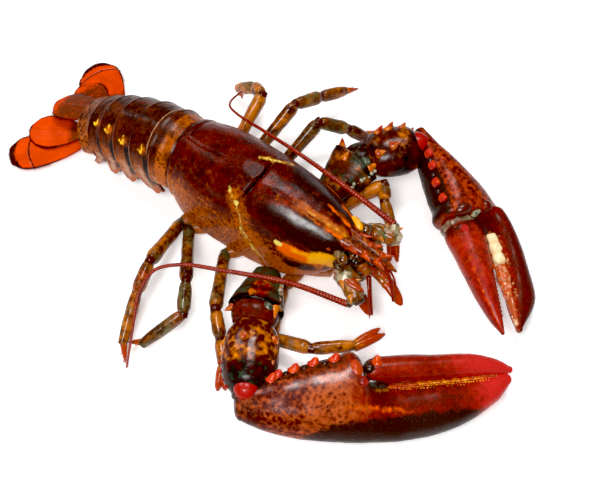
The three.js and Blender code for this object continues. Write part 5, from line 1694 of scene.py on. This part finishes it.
# %% Whisker bases and feelers
feelers = {
    "right": [[60.5, -5, 28], [64, -9, 24], [70, -15, 13.5]],
    "left": [[62, 3, 30], [69, 0.5, 25], [75, -5, 17]],
}
jaw_legs = {
    "right": [[44, -6, 11], [54, -9, 14], [62.5, -11.5, 14], [68.5, -13.2, 9.5]],
    "left": [[44, 6, 11], [56, 4.5, 16], [68.5, 2, 15.5], [78, -1.6, 11.5]],
}
jaw_rows = profile([[0, 2.6, 2.6], [0.35, 2.8, 2.2], [0.7, 3, 1.6], [0.92, 2.3, 1.3], [1, 0.9, 0.6]])
scale_rows = [[0, 1.8, 0.9], [0.4, 2.4, 1.1], [0.8, 1.5, 0.8], [1, 0.3, 0.2]]


def add_whisker_base(side, sign):
    clay = Clay()
    root, middle, end = (vec(*p) for p in antennae[side]["sections"])
    socket = mix(end, vec(*antennae[side]["path"][0]), 0.95)
    sections = (
        (root, middle, [[0, 4.2, 3.6], [0.6, 5, 4.2], [1, 4.4, 3.8]]),
        (middle, end, [[0, 4.2, 3.6], [0.6, 4.4, 3.8], [1, 3, 2.6]]),
        (mix(end, middle, 0.4), socket, [[0, 2.6, 2.6], [1, 2.1, 2.1]]),
    )
    for order, (start, stop, rows) in enumerate(sections):
        rings, t, _ = limb_rings(start, stop, rows, 40, 36)
        rings, t = rounded(rings, t, 1, 0.12, 5)
        rings = swell(rings, 0.4 * lumps(rings, 2.6, order) + 0.15 * lumps(rings, 1.2, 4))
        loft(
            clay, rings, orange=0.4 + 0.3 * lumps(rings, 3, 1), green=0.44 + 0.4 * lumps(rings, 3, 2),
            dark=0.36 + 0.3 * smooth(t, 0.85, 1), pale=0.34 + 0.4 * lumps(rings, 3, 7),
            red=0.34 + 0.4 * lumps(rings, 3, 9), amber=0.06 + 0.2 * lumps(rings, 3, 5),
            black=0.2 + 0.3 * lumps(rings, 2.6, 4),
        )
    for share, out in ((0.3, 1), (0.75, 1), (0.5, -0.6)):
        place = mix(root, end, share) + vec(0, sign * 3.6 * out, 1.8)
        add_spine(clay, place, (0.9, sign * out, 0.35), 4.2, 1.3, 0.05, 12, orange=0.8, pale=0.2, red=0.2)
    scale_root = root + vec(2, sign * 2.5, 1.5)
    rings, _, _ = limb_rings(scale_root, scale_root + vec(13, sign * 1.2, -1.5), scale_rows, 24, 30)
    loft(clay, swell(rings, 0.15 * lumps(rings, 1.5, 6)), orange=0.4, red=0.6, green=0.15, dark=0.35)
    finish_piece(f"{side}_whisker_base", clay, leg_paint, f"{side}_antenna_base")


def add_feeler(side, sign):
    clay = Clay()
    twin = [vec(*p) + vec(0.5, sign * (0.6 + 1.2 * k), 0.3 + 0.8 * k) for k, p in enumerate(feelers[side])]
    for path, root, tip, sides, ringed in ((feelers[side], 1.35, 0.6, 12, 0.1), (twin, 0.8, 0.25, 10, 0.14)):
        rings, _, beat, _ = whip_rings(path, root, tip, sides, ringed)
        # painted highlight on each ring's swell, painted shade in the narrow part between rings
        loft(clay, rings, pale=0.25 * beat, dark=0.3 * (1 - beat))
    finish_piece(f"{side}_feeler", clay, whisker_paint, f"{side}_antennule")


def add_jaw_leg(side):
    clay = Clay()
    path, ahead, _ = smooth_path(jaw_legs[side], 70)
    t = np.linspace(0, 1, 70)[:, None]
    rings = tube(path, *frame_of(ahead), *jaw_rows(t), 28)
    knuckles = sum(0.35 * bump_at(t, at, 0.04) - 0.3 * bump_at(t, at - 0.04, 0.02) for at in (0.35, 0.66))
    rings = swell(rings, knuckles + 0.12 * lumps(rings, 2, 2))
    fade = 1 - t
    loft(clay, rings, orange=0.5 + 0.1 * t, red=0.45 + 0.35 * smooth(t, 0.4, 1), dark=0.3 * fade, green=0.2 * fade)
    middle = rings.mean(1)
    add_bristles(clay, middle[35], middle[-1], 60, 1.2)
    finish_piece(f"{side}_jaw", clay, leg_paint, f"{side}_jaw_leg")


for side, sign in (("right", -1), ("left", 1)):
    add_whisker_base(side, sign)
    add_feeler(side, sign)
    add_jaw_leg(side)
print("head parts:", [name for name, _ in made[-6:]])

# %% [markdown]
# The eyes are glossy black beads. Each sits on a short stalk in the notch under the beak, below a small
# grey-green brow. Between them lies the face: a crowded plate with the roots of the feelers, whiskers and
# jaw legs. It is modelled as a cluster of fused lumps, as they are seen only as knobs in the shade.

# %% Eyes, brows and face
stalk_rows = [[0, 1.9, 1.9], [0.6, 2.1, 2.1], [1, 2.4, 2.4]]
for side, sign in (("right", -1), ("left", 1)):
    centre = vec(48.6, sign * 9.6, 38)
    eye, brow = Clay(), Clay()
    add_knob(eye, centre, (2.7, 2.7, 2.7), 0, 28, 0.03, amber=0.45)
    finish_piece(f"{side}_eye_bead", eye, eye_paint, f"{side}_eye")
    rings, _, _ = limb_rings(centre - vec(4.5, sign * 3.6, 0.5), centre - vec(0.9, sign * 0.7, 0), stalk_rows, 32, 16)
    loft(brow, swell(rings, 0.1 * lumps(rings, 1.2, 1)), orange=0.4, pale=0.3, green=0.5)
    above, below = centre + (-3, -sign * 0.2, 2), centre + (-1, sign * 2.4, -2.8)
    add_knob(brow, above, (2.6, 1.9, 1.4), sign * 0.5, 18, 0.2, green=0.44, orange=0.3, dark=0.4, black=0.2)
    add_knob(brow, below, (3, 2.2, 2), sign * 0.4, 16, 0.3, dark=0.6, green=0.5, black=0.3)
    finish_piece(f"{side}_eye_brow", brow, leg_paint)

face = Clay()
add_knob(face, (50, 0, 29), (9, 9.5, 7.5), 0, 26, 0.9, black=0.6, orange=0.35, green=0.25)
add_knob(face, (50, 0, 18), (8, 8, 7), 0, 22, 0.8, black=0.4, orange=0.45, red=0.3)
for sign in (-1, 1):
    add_knob(face, (57, sign * 4.4, 31.5), (4.6, 2.6, 2.6), sign * 0.1, 18, 0.3, orange=0.5, red=0.4, pale=0.2)
    add_knob(face, (60.5, sign * 2.6, 29.5), (3.4, 2, 2), 0, 16, 0.3, red=0.6, black=0.2)
    add_knob(face, (54, sign * 9.5, 27.5), (4.4, 3.4, 3.4), 0, 18, 0.5, orange=0.55, green=0.4, pale=0.25)
    add_knob(face, (51, sign * 6, 13), (6, 3.6, 4.6), 0, 18, 0.4, orange=0.55, red=0.3)
    add_bristles(face, vec(50, sign * 12, 28), vec(56, sign * 14.5, 24), 26, 3)
finish_piece("face", face, leg_paint)
print("pieces:", len(made), "faces:", sum(faces for _, faces in made))

# %% [markdown]
# ## Floor, light and camera
# The lobster lies on a plain pale surface, which is itself lit a little, like a table seen against a bright
# wall. It lies a hair below the animal, so that the two never flicker through each other.

# %% Floor
floor_size, floor_gap, floor_glow = 6, 0.0002, 0.36
bpy.ops.mesh.primitive_plane_add(size=floor_size, location=(0, 0, -floor_gap))
floor = bpy.context.object
floor.name = "floor"
floor_paint = bpy.data.materials.new("plain pale floor, lit from below")
floor_paint.use_nodes = True
for title, value in (
    ("Base Color", (0.85, 0.85, 0.85, 1)), ("Roughness", 0.5),
    ("Emission Color", (1, 1, 1, 1)), ("Emission Strength", floor_glow),
):
    floor_paint.node_tree.nodes["Principled BSDF"].inputs[title].default_value = value
floor.data.materials.append(floor_paint)
print("floor:", floor_size, "m wide")

# %% [markdown]
# The light is soft and comes from large panels, as in a studio, and the panels are what the wet shell
# mirrors. The far panel gives the long highlights on the claws, the near one the glare on the back, and a
# narrow one at the side a stripe on the forearm. The bright table and the horizon give the pale glow low
# on the flanks.

# %% Light
def add_panel(name, turn, climb, size, power, distance=1.2):
    """A soft panel that looks at the animal from a compass direction and a height angle."""
    light = bpy.data.lights.new(name, "AREA")
    light.shape = "RECTANGLE"
    light.size, light.size_y = size
    light.energy = power
    panel = bpy.data.objects.new(name, light)
    bpy.context.collection.objects.link(panel)
    turn, climb = np.radians(turn), np.radians(climb)
    away = Vector((np.cos(turn) * np.cos(climb), np.sin(turn) * np.cos(climb), np.sin(climb)))
    panel.location = away * distance
    panel.rotation_mode = "QUATERNION"
    panel.rotation_quaternion = (-away).to_track_quat("-Z", "Y")


add_panel("far panel", 114, 68, (0.42, 0.34), 7.6)
add_panel("near panel", -76, 60, (0.46, 0.46), 11.8)
add_panel("side panel", 172, 40, (0.1, 0.5), 1.8)
horizon_light, zenith_light = 0.34, 0.06
world = bpy.data.worlds.new("dim room with a bright horizon")
bpy.context.scene.world = world
world.use_nodes = True
tree = world.node_tree
direction = wire(tree, "ShaderNodeTexCoord").outputs["Generated"]
height = wire(tree, "ShaderNodeSeparateXYZ", Vector=direction).outputs["Z"]
fade = wire(tree, "ShaderNodeMapRange", soft_step, i0=height, i1=-0.05, i2=0.5, i3=horizon_light, i4=zenith_light)
feed(tree, tree.nodes["Background"].inputs["Strength"], fade.outputs[0])
tree.nodes["Background"].inputs["Color"].default_value = (1, 1, 1, 1)
print("lights:", len(bpy.data.lights))

# %% [markdown]
# Wet shell always carries a thin veil of mirrored room light, and a camera's own processing takes it away
# by lifting the black point a little. The same is done here, once for the whole picture, and not by
# painting the shell darker than it is.

# %% Black point
veil = 0.015
develop = bpy.context.scene.view_settings
develop.view_transform = "Standard"
develop.use_curve_mapping = True
develop.curve_mapping.black_level = (veil, veil, veil)
develop.curve_mapping.update()
print("black point:", veil)

# %% [markdown]
# The camera looks down at about sixty degrees, from the animal's right front. It stands 0.62 m away with
# a lens that fills the frame, which sets how strongly the near claw grows and the tail shrinks.

# %% Camera
look_at = vec(24, -9, 20) * MM
turn, climb, distance = np.radians(35.5), np.radians(62), 0.62
back_way = vec(np.sin(turn) * np.cos(climb), -np.cos(turn) * np.cos(climb), np.sin(climb))
camera = bpy.data.objects.new("camera", bpy.data.cameras.new("camera"))
bpy.context.collection.objects.link(camera)
camera.data.sensor_width, camera.data.lens = 36, 77.76
camera.location = look_at + back_way * distance
camera.rotation_mode = "QUATERNION"
camera.rotation_quaternion = Vector(-back_way).to_track_quat("-Z", "Y")
bpy.context.scene.camera = camera
print("camera at", [round(c, 3) for c in camera.location], "m")

# %% [markdown]
# ## The size of the animal
# The dressed animal has to stay the size of its solids: every mesh is clipped to the box of the solids, and that box is
# printed.

# %% Print the box of the solids
print("box of the solids:", [round(c / MM, 1) for corner in solid_box for c in corner])
